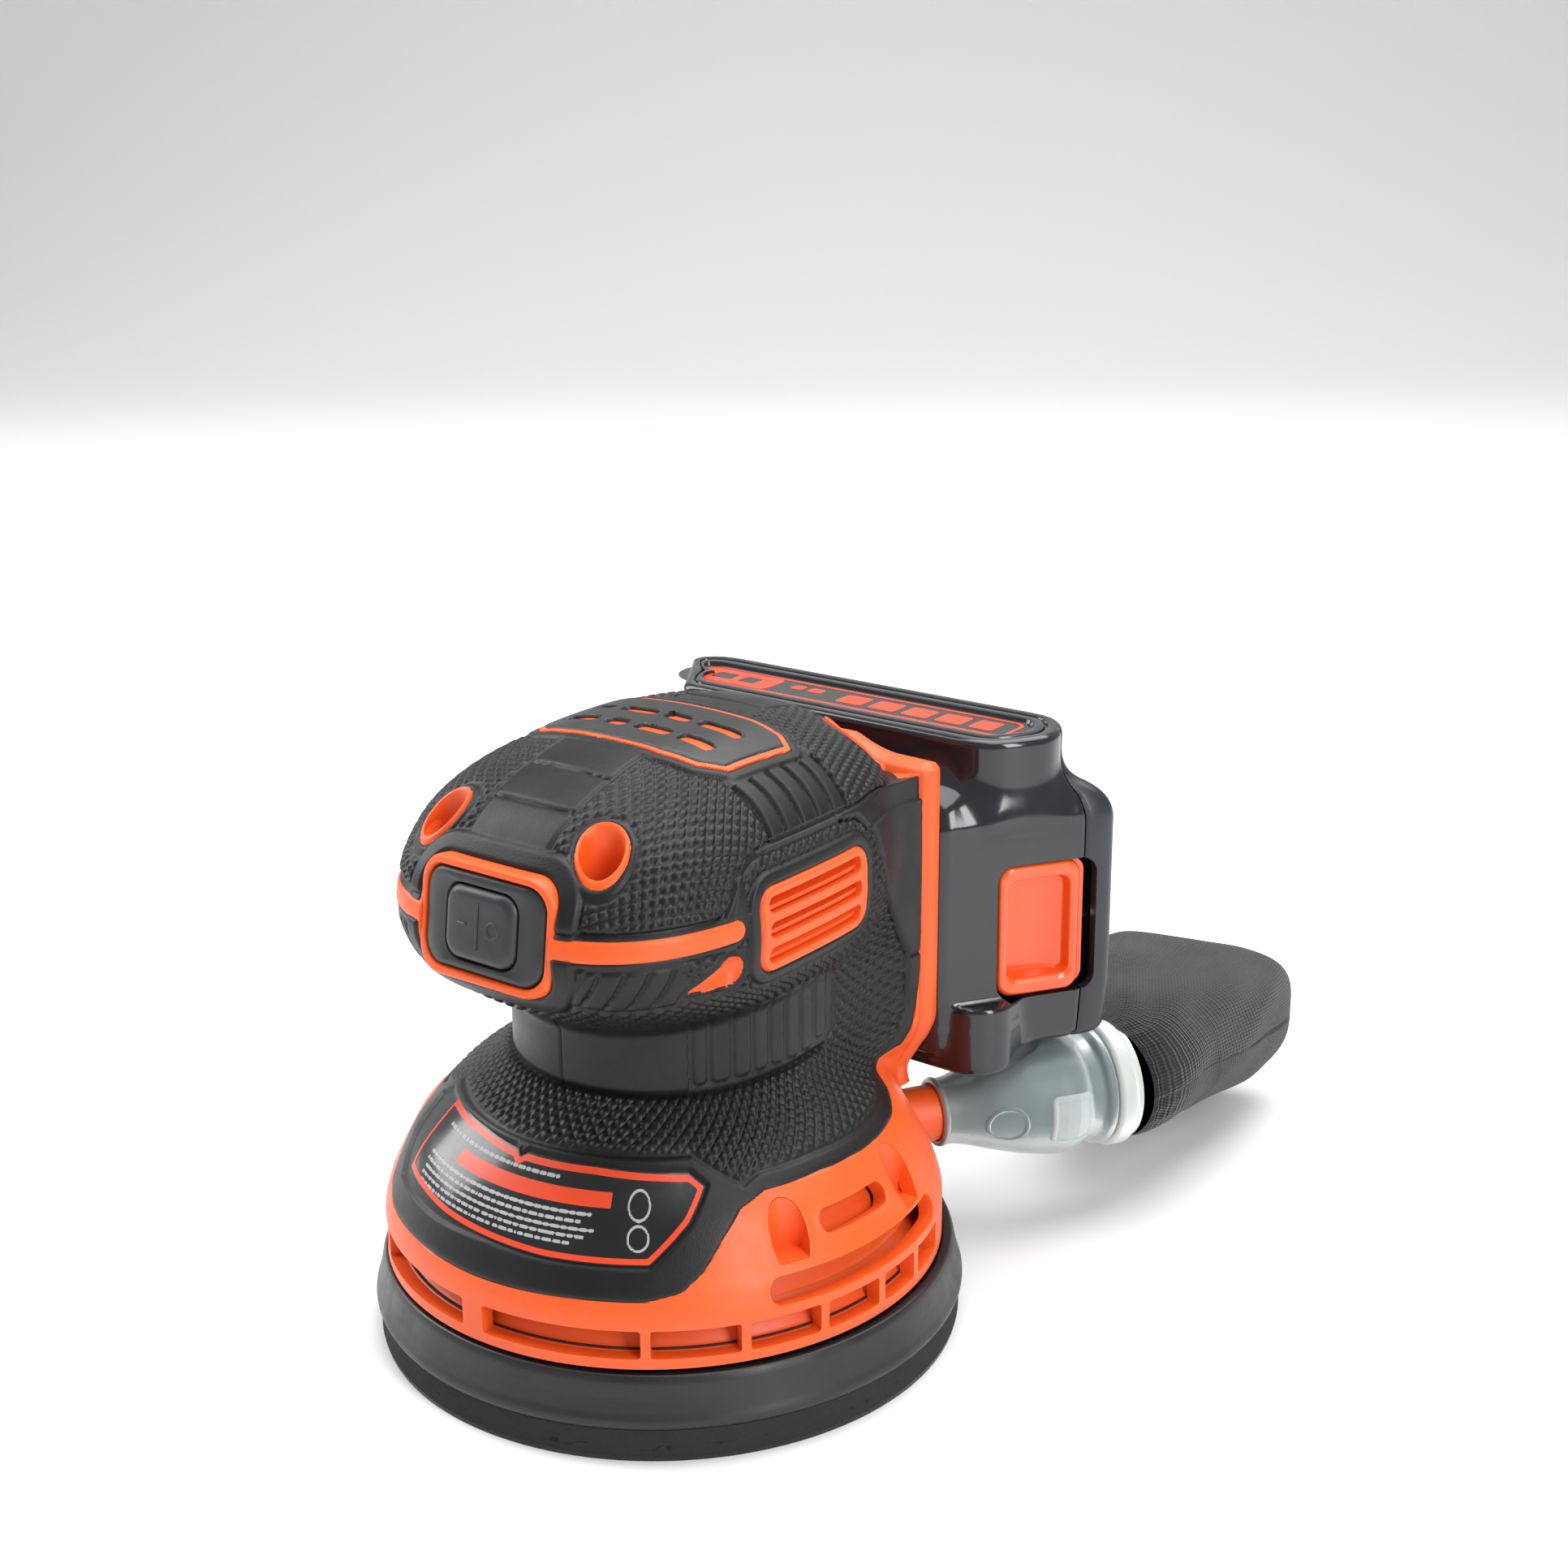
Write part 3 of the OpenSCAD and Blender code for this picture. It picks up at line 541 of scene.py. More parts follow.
class Casing:
    """The smooth outer surface as a grid, with the coordinates that its details are laid out in."""

    def __init__(self, pitch, cols):
        self.z, self.s = row_heights(casing_field, casing_centre, 19.1, APEX, pitch, 75)
        self.S, self.phi = polar_skin(casing_field, casing_centre, self.z, cols, 75)
        self.N = grid_normals(self.S)
        self.cols = cols
        x, y, z = self.S[..., 0], self.S[..., 1], self.S[..., 2]
        self.x, self.y, self.zz = x, y, z
        self.ax = np.abs(x)
        self.th = np.degrees(np.arctan2(self.ax, -y))
        self.arc = np.repeat(self.s[:, None], cols, 1)


TRIM_END = -23.5
LOW_EDGE = ([0, 36, 43, 47.5, 52, 57, 64, 80, 103, 118, 128, 136, 140, 180],
            [32.4, 32.8, 34.3, 37.5, 42.5, 46.8, 48.8, 49, 48.3, 48.2, 49.3, 52, 54, 56])
REAR_EDGE = ([30, 48, 55, 63, 72, 94, 104, 112, 118, 140],
             [37, 38.5, 41.4, 43.4, 44.8, 45.2, 45, 44.6, 44, 43.5])
DOME_EDGE = ([-60, -28, -26, -24.6, -21.4, -17, -12, 60], [105.4, 105.4, 106, 108, 112.2, 115, 116.3, 116.3])
PLATE = [(-30, -12.2), (12, -12), (19.5, -10.2), (23.6, -6.6), (24.6, 11), (21.5, 13), (-30, 13.6)]
SHOULDER = [(12, 114.6), (18, 113.6), (23.6, 108.7), (30.8, 96.8), (37, 81.8), (40, 76), (39.7, 64.3),
            (34.5, 53.6)]
POSTS = [1.6, 36, 55, 71.5, 86.5, 99, 112]


def details(c):
    """Signed distances, in mm, to everything that is laid out on the casing. Negative is inside."""
    d = {}
    x, y, z, ax, th = c.x, c.y, c.zz, c.ax, c.th
    far = 1e3
    tilt = math.radians(8)
    w = (z - 103.2) * math.cos(tilt) + (y + 50.2) * math.sin(tilt)
    d["switch"] = np.where(y < -25, rbox(x, w, 0, 0, 17, 11.5, 6), far)
    d["trim"] = np.where((z > 95) & (z < 110) & (y < 0),
                         np.hypot(np.maximum(y - TRIM_END, 0), z - 102.5) - 1.85, far)
    d["vent"] = np.where((ax > 25) & (z > 70), rbox(y, z, 0.6, 99.9, 17.7, 8.7, 4.2), far)
    drop = np.hypot(y + 25.0, z - 94.6) - 3.0
    tail = line(y, z, [(-25.0, 94.6), (-33.2, 92.4)]) - np.interp(y, [-33.2, -25.0], [0.3, 3.0])
    d["drop"] = np.where((ax > 25) & (z > 85) & (y < 0), np.minimum(drop, tail), far)
    d["well"] = np.where(z > 104, np.hypot(ax - WELL_X, np.abs(y) - WELL_Y) - 5.2, far)
    d["plate"] = np.where(z > 118, poly(ax, y, PLATE), far)
    d["low"] = -(z - np.interp(th, *LOW_EDGE))
    d["rear"] = y - np.interp(z, *REAR_EDGE)
    slope = np.interp(y, [-28, -26, -15, -12], [1, 0.62, 0.62, 1])
    d["dome"] = (z - np.interp(y, *DOME_EDGE)) * slope * np.where(y > -12,
                                                            np.interp(z, [112, 118], [1, 1.25]), 1)
    d["strip"] = np.where((z > 112), ax - 10.3, far)
    d["shoulder"] = line(y, z, SHOULDER)
    d["behind"] = y - np.interp(z, [49, 53.6, 64.3, 76, 81.8, 96.8, 108.7, 113.6, 114.6, 117],
                                [30, 34.5, 39.7, 40, 37, 30.8, 23.6, 18, 12, 10])
    return d


def knurl(a, b, pitch=2.1):
    u, v = (a + b) / math.sqrt(2) / pitch, (a - b) / math.sqrt(2) / pitch
    tile = np.maximum(np.abs(u - np.round(u)), np.abs(v - np.round(v)))
    return 1 - step(tile, 0.2, 0.47)


def grip_height(c, d):
    """Height of the soft grip over the smooth surface."""
    y, z, ax, th = c.y, c.zz, c.ax, c.th
    dome = d["dome"] > 0
    low_in = -d["low"]
    smooth = []                      # areas without knurl, negative inside
    rib_y = [-9.8, -4.7, 0.5, 5.6, 10.6, 15.3]
    strip = np.where((y < 0) | (y > 10), d["strip"], 1e3)
    frame_band = d["plate"] - 3.4
    ribs = np.where((z > 112) & (ax > 20), np.maximum(rbox(y, z, 2.8, 120, 12.6, 30, 0.5), 26 - ax), 1e3)
    top = np.minimum(np.minimum(strip, frame_band), ribs)
    top = np.minimum(top, d["well"] - 1.3)
    top = np.where(dome, top, 1e3)
    smooth.append(top)
    smooth.append(np.where(y < -25, d["switch"] - 4.4, 1e3))
    trim_band = d["trim"] - 1.3
    channel = np.where(~dome & (ax > 25) & (z > 86) & (d["behind"] < 0), 6.3 - d["vent"], 1e3)
    channel = np.where(~dome & (z > 100.5) & (y < 14) & (y > -31), channel, 1e3)
    upper_front = np.where(~dome & (z > 102.5) & (y < -20), -1.0, 1e3)
    smooth += [trim_band, channel, upper_front, d["vent"] - 3.0, np.where(~dome, -d["behind"], 1e3),
               d["drop"] - 0.9]
    neck = rbox(th * 0.56, z, 29, 72.4, 37, 8.4, 3.5)
    smooth.append(np.where(z < 84, neck, 1e3))
    smooth.append(low_in - 2.8)
    slot_band = np.where(z < 60, poly(th * 0.9, z, [(-60, 55.4), (43, 55.4), (49.5, 52), (62, 46), (62, 20),
                         (-60, 20)]), 1e3)
    smooth.append(slot_band)
    gill = np.where((y < -20) & (z < 100) & (z > 86),
                    poly(th, z, [(21.5, 90.6), (26, 98.6), (45, 98.4), (47, 94.5), (43.5, 89.8),
                         (30, 89.2)]) , 1e3)
    smooth.append(gill)
    k = smooth[0]
    for s in smooth[1:]:
        k = np.minimum(k, s)
    apex = c.s[-1] - c.arc
    a_top, b_top = apex * np.cos(c.phi), apex * np.sin(c.phi)
    a_low, b_low = c.phi * 43.0, c.arc
    high = c.zz > 99
    pattern = np.where(high, knurl(a_top, b_top), knurl(a_low, b_low))
    h = 0.46 * pattern * step(k, 0.2, 1.1) - 0.2 * step(k, 0.0, 0.5)
    h = h + groove(k - 0.1, 0.42, 0.42)
    fine = [groove(np.where(~dome, d["shoulder"], 9), 0.5, 0.7)]
    fine.append(groove(d["dome"], 0.55, 0.8))
    in_strip = dome & (ax < 10.2) & (d["plate"] > 3)
    for yy in (-25.4, -36.0, 23.0, 33.5):
        fine.append(groove(np.where(in_strip, y - yy - 0.0022 * ax * ax * np.sign(-yy), 9), 0.42, 0.6))
    in_ribs = dome & (ax > 28.0) & (z > 116.9)
    for yy in rib_y:
        fine.append(groove(np.where(in_ribs, y - yy + 0.03 * (ax - 32) ** 2 - 0.8, 9), 0.55, 0.9))
    neck_in = (z > 63.6) & (z < 81.4) & (th < 117)
    fine.append(groove(np.where((th < 117) & (z < 70), z - 63.6, 9), 0.45, 0.7))
    fine.append(groove(np.where(neck_in & (y < 0), ax, 9), 0.28, 0.5))
    gill_in = step(-gill, 0.1, 0.6)
    for t0 in (26.3, 31.6, 36.6, 41.6):
        bend = t0 + (z - 94) * 0.62 - 0.03 * (z - 94) ** 2
        fine.append(groove(np.where(gill_in > 0, (th - bend) * 0.85, 9), 0.5, 0.7 * gill_in))
    strip_joint = (y > 40.6) & (z > 70) & (z < 82)
    fine.append(groove(np.where(strip_joint, z - 75.6, 9), 0.35, 0.5))
    for f in fine:
        h = h + f
    for t0, t1 in ((52.0, 57.0), (59.0, 66.5), (68.5, 75.5), (77.5, 84.0), (86.0, 91.6), (93.4, 100),
                   (101.8, 108), (109.8, 115.2)):
        pad = rbox(th * 0.56, z, (t0 + t1) * 0.28, 72.6, (t1 - t0) * 0.28, 7.7 if t0 < 105 else 6.6, 1.2)
        h = h + np.where((z < 84) & (z > 60), 0.45 * (1 - step(pad, -0.35, 0.25)), 0)
    h = h + np.where((z < 84) & (z > 60) & (th > 50), -0.45 * (1 - step(neck, -0.8, 0.2)), 0)
    h = h + 0.45 * (1 - step(np.abs(d["switch"] - 2.2), 1.2, 2.4)) * (y < -25)
    h = h + 0.25 * (1 - step(np.abs(d["vent"] - 1.5), 0.8, 1.5)) * (ax > 25)
    h = h - 0.25 * step(d["vent"], 3.0,
                        3.4) * (1 - step(d["vent"], 6.0,
                                6.6)) * (~dome) * (ax > 25) * (z > 90) * (d["behind"] < 0)
    h = h - 1.1 * (1 - step(d["dome"], -0.3, 0.5)) * (y > 16) * step(y, 16, 26) * (z > 110) * 0.6
    h = h + 0.4 * (1 - step(np.abs(d["plate"] - 2.4), 0.7, 1.5)) * (z > 118)
    label = poly(th, z, LABEL)
    h = h - np.where(z < 58, 0.55 * (1 - step(label - 0.4, -0.3, 0.3)), 0)
    return h


LABEL = [(-38, 54.6), (-34.6, 41.2), (-13, 39.9), (2, 39.4), (14.5, 38.9), (37, 38.9), (45.6, 45.6),
         (50.4, 51), (46.5, 53.2), (23, 54.1), (2.5, 54.0), (0.8, 53.2), (-0.9, 54.0), (-15, 54.6)]


def make_casing():
    c = Casing(0.42, 860)
    d = details(c)
    x, y, z, ax, th = c.x, c.y, c.zz, c.ax, c.th
    quads = grid_faces(len(c.z), c.cols)
    tris = triangles(quads)
    keep = np.minimum.reduce([
        -d["low"], -d["rear"], d["switch"] - 0.15, d["trim"] - 0.05, d["vent"], d["drop"], d["well"],
        d["plate"] - 1.1])
    h = grip_height(c, d)
    h = h - 0.5 * (1 - np.sqrt(np.clip(1 - ((0.9 - np.clip(keep, 0, 0.9)) / 0.9) ** 2, 0, 1)))
    h = h - 1.0 * np.clip(-keep, 0, 1)
    pos = c.S + c.N * h[..., None]
    data = np.concatenate([pos.reshape(-1, 3), c.N.reshape(-1, 3), y.reshape(-1, 1), z.reshape(-1, 1),
                          d["dome"].reshape(-1, 1)], 1)
    P, T = clip(data, tris, keep.ravel())
    upper = np.where(P[:, 6] < -22, P[:, 7] - 103.5, P[:, 8] + 0.35)
    for name, sign, hides in (("grip_upper", 1, ("top_grip",)),
                              ("grip_lower", -1, ("grip_left", "grip_right"))):
        Q, U = clip(P, T, sign * upper)
        Q, U = compact(Q, U)
        V, W = walls(Q[:, :3], Q[:, 3:6], U, 1.0)
        build(name, V, [U, W], "rubber", "casing", hides, sharp=50)
    # raised plate on the dome
    plate = -np.where(z > 118, d["plate"], 1e3)
    rise = 0.75 - 0.5 * (1 - np.sqrt(np.clip(1 - ((0.8 - np.clip(plate, 0, 0.8)) / 0.8) ** 2, 0, 1)))
    blocks = plate_blocks(x, y)
    rise = rise - 0.7 * (1 - step(blocks, -0.15, 0.25))
    pos = c.S + c.N * rise[..., None]
    skin("badge_plate_skin", pos, c.N, tris, np.minimum(plate, blocks), 1.2, "plate", "casing",
         ("badge_plate",), 50)
    # orange shell
    cover = step(keep, 0.1, 0.8)
    ho = -0.12 - 1.9 * cover
    ho = ho + 0.3 * (1 - step(d["trim"], -0.5, 0.3)) * (z > 95)
    ho = ho + 0.5 * (1 - step(np.abs(d["plate"] - 0.5), 0.7, 1.2)) * (z > 118) * (1 - cover)
    frame_in = -d["vent"]
    ho = ho + np.where(frame_in > 0, 0.65 * step(frame_in, 0.0, 0.5) - 0.35 * step(frame_in, 1.2, 1.9), 0)
    hole = np.full(x.shape, 1e3)
    for zc in VENT_SLOTS:
        hole = np.minimum(hole, rbox(y, z, 0.6, zc, 15.4, 1.7, 1.5))
    hole = np.where(frame_in > 0, hole, 1e3)
    ho = ho - 2.2 * np.sqrt(np.clip(-d["drop"] / 3.0, 0, 1))
    short = rbox(th * 0.93, z, 84.3 * 0.93, 41.5, 9.4, 2.2, 2.1)
    short = np.where((z > 35) & (z < 48), short, 1e3)
    lng = rbox(th, z, 85.2, 32.1, 25.2, 2.75, 2.7)
    lng = np.where(z < 38, lng, 1e3)
    wells = np.where(z > 104, np.hypot(ax - WELL_X, np.abs(y) - WELL_Y) - 4.75, 1e3)
    pocket = np.full(x.shape, 1e3)
    for cx, cy, floor in POCKETS:
        ring = np.maximum(np.hypot(ax - cx, y - cy) - 4.1, floor - z)
        pocket = np.minimum(pocket, np.where(z < 52, ring, 1e3))
    for dist in (short, lng, pocket):
        ho = ho + 0.28 * (1 - step(dist, 0.1, 1.3)) * (dist > -0.1) * 0.6
    S = c.S + c.N * ho[..., None]
    open_ = np.full(x.shape, 1e3)
    for a0, a1 in zip(POSTS[:-1], POSTS[1:]):
        open_ = np.minimum(open_, rbox(th * 1.04, z, (a0 + a1) / 2 * 1.04, 24.3, (a1 - a0) / 2 * 1.04 - 0.95,
                           3.0, 0.6))
    open_ = np.where(z < 30, open_, 1e3)
    window = np.where((y > 44) & (z > 50) & (z < 100), rbox(x, z, 0, 77, 31.8, 19, 2), 1e3)
    seat = np.where((y < -25), rbox(x, (z - 103.2) * 0.99 + (y + 50.2) * 0.139, 0, 0, 16.6, 11.1, 5.6), 1e3)
    port = np.where((z < 60) & (y > 20), port_distance(x, y, z) - 7.2, 1e3)
    flat = lambda S: np.concatenate([S.reshape(-1, 3), c.N.reshape(-1, 3)], 1)
    cuts = np.minimum.reduce([open_, window, seat, hole, short, lng, wells, pocket, port])
    skin("shell", S, c.N, tris, cuts, 3.2, "orange", "casing",
         ("housing_left", "housing_right", "top_cap", "vent_left", "vent_right"))
    # floors of the slots and the blades behind the vents
    for name, dist, depth in (("slot_short", short, 4.2), ("slot_long", lng, 6.4)):
        Q, U = compact(*clip(flat(c.S - c.N * depth), tris, (0.5 - dist).ravel()))
        build(name, Q[:, :3], [U], "orange", "casing", (), sharp=40)
    blade = np.full(x.shape, 3.4)
    for zc in VENT_SLOTS:
        blade = blade - 2.3 * (1 - step(np.abs(z - zc + 0.9), 0.5, 1.1))
    Q, U = compact(*clip(flat(c.S - c.N * blade[..., None]), tris,
                   np.where(frame_in > 0, frame_in - 0.7, -1.0).ravel()))
    build("vent_blades", Q[:, :3], [U], "orange", "casing", (), sharp=40)
    return c


VENT_SLOTS = (94.75, 99.9, 105.0)
POCKETS = ((49.6, -21.6, 36.6), (52.8, 11.4, 35.6))


def port_distance(x, y, z):
    """Distance to the axis of the dust port."""
    e = (math.sin(PORT), math.cos(PORT))
    across = (x - PORT_X) * e[1] - (y - PORT_Y) * e[0]
    return np.hypot(across, z - PORT_Z)


def casing_top(x, y):
    """Height of the dome over points, by bisection."""
    x, y = np.reshape(x, (-1, 1)).astype(float), np.reshape(y, (-1, 1)).astype(float)
    return bisect(lambda t: casing_field(x, y, t) > 0, np.full(x.shape, 100.0), np.full(x.shape, APEX))[:, 0]


def make_wells():
    """Four screw wells with a raised orange rim that follows the dome."""
    a = np.linspace(0, 2 * math.pi, 72, endpoint=False)
    rings = [(5.05, -1.6, 0), (5.15, -0.2, 0), (5.05, 0.32, 0), (4.75, 0.5, 0), (4.45, 0.34, 0),
             (4.3, -0.3, 0), (4.25, -2.0, 0), (4.0, 0, 104.9)]
    for i, (sx, sy) in enumerate(((1, -1), (-1, -1), (1, 1), (-1, 1))):
        V = []
        for r, rise, flat in rings:
            px, py = sx * WELL_X + r * np.cos(a), sy * WELL_Y + r * np.sin(a)
            pz = np.full(len(a), flat) if flat else casing_top(px, np.minimum(py, 46.5)) + rise
            V.append(np.stack([px, py, pz], -1))
        V = np.concatenate(V + [np.array([[sx * WELL_X, sy * WELL_Y, 104.9]])])
        F = grid_faces(len(rings), len(a))
        k = np.arange(len(a))
        last = (len(rings) - 1) * len(a)
        cap = np.stack([last + k, last + (k + 1) % len(a), np.full(len(a), len(V) - 1)], 1)
        build(f"well_{i}", V, [F, cap], "orange", "casing", (), sharp=40)


def make_pockets():
    """Blind round pockets in the base: wall and floor, cut back to the casing's surface."""
    a = np.linspace(0, 2 * math.pi, 97)
    for i, (cx, cy, floor) in enumerate(POCKETS):
        for side in (1, -1):
            rows = np.linspace(floor, 52, 60)
            A, Z = np.meshgrid(a, rows)
            V = [np.stack([cx + 4.1 * np.cos(A), cy + 4.1 * np.sin(A), Z], -1).reshape(-1, 3)]
            R, A = np.meshgrid(np.linspace(0, 4.1, 14), a, indexing="ij")
            V.append(np.stack([cx + R * np.cos(A), cy + R * np.sin(A), np.full(A.shape, floor)],
                     -1).reshape(-1, 3))
            T = [triangles(grid_faces(60, 97, wrap=False)),
                 triangles(grid_faces(14, 97, wrap=False)) + 60 * 97]
            V = np.concatenate(V)
            f = -casing_field(V[:, [0]], V[:, [1]], V[:, [2]])[:, 0] - 0.15
            Q, U = compact(*clip(V, np.concatenate(T), f))
            build(f"pocket_{i}_{'rl'[side < 0]}", Q * [side, 1, 1], [U], "orange", "casing",
                  (), sharp=40)


def plate_blocks(x, y):
    """Plain inlaid bars in two rows, in place of lettering. Positive outside the bars."""
    best = np.full(x.shape, 1e3)
    for row, spans in ((-4.2, ((-19, -11), (-8.5, -3), (-0.5, 8), (10.5, 18.5))),
                       (4.6, ((-19, -14), (-11.5, -2.5), (0, 6), (8.5, 18.5)))):
        for a, b in spans:
            best = np.minimum(best, rbox(x, y, (a + b) / 2, row, (b - a) / 2, 1.7, 1.2))
    return best



PORT = math.radians(32)
PORT_X, PORT_Y, PORT_Z = 30.5, 57.9, 31.0
casing = make_casing()
make_wells()
make_pockets()


def lathe(profile, cols):
    """Verts and quads of a turned shape. profile is a list of (radius, height)."""
    profile = np.asarray(profile, float)
    a = np.linspace(0, 2 * math.pi, cols, endpoint=False)
    V = np.stack([profile[:, 0][:, None] * np.cos(a), profile[:, 0][:, None] * np.sin(a),
                  np.repeat(profile[:, 1][:, None], cols, 1)], -1)
    return V, grid_faces(len(profile), cols)


def soften(profile, r, n=4, closed=False):
    """The profile with each corner rounded by r."""
    p = np.asarray(profile, float)
    out = []
    m = len(p)
    for i in range(m):
        if not closed and i in (0, m - 1):
            out.append(p[i])
            continue
        a, b, c = p[i - 1], p[i], p[(i + 1) % m]
        la, lc = np.linalg.norm(a - b), np.linalg.norm(c - b)
        t = min(r, la * 0.45, lc * 0.45)
        s, e = b + (a - b) / la * t, b + (c - b) / lc * t
        for k in np.linspace(0, 1, n + 1):
            out.append((1 - k) ** 2 * s + 2 * k * (1 - k) * b + k * k * e)
    return np.array(out)



def on_port(V):
    """Local z becomes the port's direction."""
    e = np.array([math.sin(PORT), math.cos(PORT), 0])
    u = np.array([math.cos(PORT), -math.sin(PORT), 0])
    w = np.array([0, 0, 1.0])
    V = V.reshape(-1, 3)
    return np.array([PORT_X, PORT_Y, PORT_Z]) + V[:, [0]] * u + V[:, [1]] * w + V[:, [2]] * e


def turned(name, profile, look, body, slot, hides=(), r=0.6, cols=96, port=True, shift=(0, 0, 0), close=True,
           sharp=40):
    p = soften(profile, r, closed=close)
    if close:
        p = np.concatenate([p, p[:1]])
    V, F = lathe(p, cols)
    V = on_port(V) if port else V.reshape(-1, 3) + np.array(shift)
    return build(name, V, [F[:, ::-1] if not port else F], look, body, hides, sharp=sharp)


def make_base_ring():
    """Inside of the vented ring and the spigot."""
    turned("vent_back", [(53.0, 19.6), (57.6, 19.6), (57.6, 20.7), (55.4, 22.0), (51.6, 28.6), (50.0, 30.5)],
           "orange", "casing",
           "orange_plastic", (), 0.4, 160, port=False)
    turned("spigot", [(6.4, -9), (6.4, 12), (4.7, 12), (4.7, -9)], "orange", "casing", "orange_plastic", (),
           0.6)


make_base_ring()


def rear_trim():
    """The orange flange around the back of the casing, swept along the body's own outline."""
    z = np.concatenate([np.linspace(42, 108, 100), np.linspace(108.4, 119.2, 60)])
    Y = np.full((len(z), 1), 44.8)
    half_width = bisect(lambda t: casing_field(t, Y, z[:, None]) > 0, np.zeros((len(z), 1)),
                        np.full((len(z), 1), 60.0), 26)
    half = np.stack([half_width[:, 0], z], -1)
    half = half[half[:, 0] > 0.5]
    path = np.concatenate([half, (half * [-1, 1])[::-1]])
    seg = np.concatenate([[0], np.cumsum(np.linalg.norm(np.diff(path, axis=0), axis=1))])
    n = 260
    s = np.linspace(0, seg[-1], n)
    path = np.stack([np.interp(s, seg, path[:, 0]), np.interp(s, seg, path[:, 1])], -1)
    tan = np.gradient(path, axis=0)
    tan /= np.linalg.norm(tan, axis=1, keepdims=True)
    nor = np.stack([tan[:, 1], -tan[:, 0]], -1)
    ends = np.minimum(s, s[-1] - s)
    fade = step(ends, 0, 9)
    prof = soften([(-1.6, 43.6), (0.15, 44.4), (0.7, 45.3), (1.25, 47.4), (0.9, 49.6), (0.0, 49.9),
                  (-2.6, 49.9), (-2.6, 43.6)], 0.5, 3, closed=True)
    off = prof[:, 0][None] - (1 - fade)[:, None] * 1.6
    V = np.stack([path[:, [0]] + nor[:, [0]] * off, np.repeat(prof[:, 1][None], n, 0),
                 path[:, [1]] + nor[:, [1]] * off], -1)
    F = grid_faces(n, len(prof))
    build("rear_trim", V.reshape(-1, 3), [F], "orange", "casing", (), sharp=40)


rear_trim()


def label_plate(c):
    """The rating plate: a dark glossy film with a red line round it and plain bars, no lettering."""
    z = c.zz
    ang = np.degrees(np.arctan2(c.x, -c.y))
    lab = poly(ang, z, LABEL)
    tris = triangles(grid_faces(len(c.z), c.cols))

    def film(name, f, lift, look, hides=()):
        pos = c.S + c.N * lift
        skin(name, pos, c.N, tris, np.where((z > 36) & (z < 58), f, -1.0), 0.35, look, "casing",
             hides, 50)

    film("rating_plate_film", -lab - 0.2, -0.22, "label", ("rating_plate",))
    film("rating_plate_border", np.minimum(-lab - 0.45, lab + 1.45), -0.16, "label_red")
    mm = 0.92
    bar = -rbox(ang, z, 5, 49.2, 23, 1.15, 0.2)
    film("rating_plate_bar", bar, -0.17, "label_red")
    rows = np.full(z.shape, -1.0)
    for i, (zc, a0, a1) in enumerate(((51.6, -30, 14), (46.9, -29, 24), (45.7, -29, 22), (44.5, -28, 25),
                                     (43.3, -28, 23), (42.1, -27, 20))):
        gap = 0.42 + 0.12 * np.sin(ang * 2.9 + i * 1.7) + 0.08 * np.sin(ang * 7.3 + i)
        rows = np.maximum(rows, -rbox(ang, z, (a0 + a1) / 2, zc, (a1 - a0) / 2, 0.28,
                          0.1) - 0.16 * (gap < 0.33))
    for a0, zc, r in ((34.5, 48.6, 2.2), (34.5, 43.6, 2.0)):
        q = np.hypot((ang - a0) * mm, z - zc)
        rows = np.maximum(rows, 0.22 - np.abs(q - r))
    film("rating_plate_marks", rows, -0.17, "label_grey")


label_plate(casing)


# ---------------------------------------------------------------- switch

SW_TILT = math.radians(8)


def on_switch(V):
    V = np.asarray(V, float).reshape(-1, 3)
    out = np.array([0, -math.cos(SW_TILT), math.sin(SW_TILT)])
    up = np.array([0, math.sin(SW_TILT), math.cos(SW_TILT)])
    return np.array([0, -50.2, 103.2]) + V[:, [0]] * np.array([1.0, 0, 0]) + V[:, [1]] * up + V[:, [2]] * out


def rounded_outline(w, h, r, n=14):
    pts = []
    for i, (sx, sy) in enumerate(((1, -1), (1, 1), (-1, 1), (-1, -1))):
        for k in range(n + 1):
            a = math.radians(-90 + 90 * i + 90 * k / n)
            pts.append((sx * (w / 2 - r) + r * math.cos(a), sy * (h / 2 - r) + r * math.sin(a)))
    return np.array(pts)


def stack(rings, cap=True):
    """Skin over outline rings, each (width, height, corner radius, z), with the last closed."""
    V, n = [], None
    for w, h, r, z in rings:
        o = rounded_outline(w, h, min(r, w / 2 - 0.01, h / 2 - 0.01))
        n = len(o)
        V.append(np.column_stack([o, np.full(n, z)]))
    F = grid_faces(len(rings), n)
    V = np.concatenate(V)
    extra = []
    if cap:
        V = np.concatenate([V, [[0, 0, rings[-1][3]]]])
        last = (len(rings) - 1) * n
        i = np.arange(n)
        extra = [np.stack([last + i, last + (i + 1) % n, np.full(n, len(V) - 1)], 1)]
    return V, [F] + extra


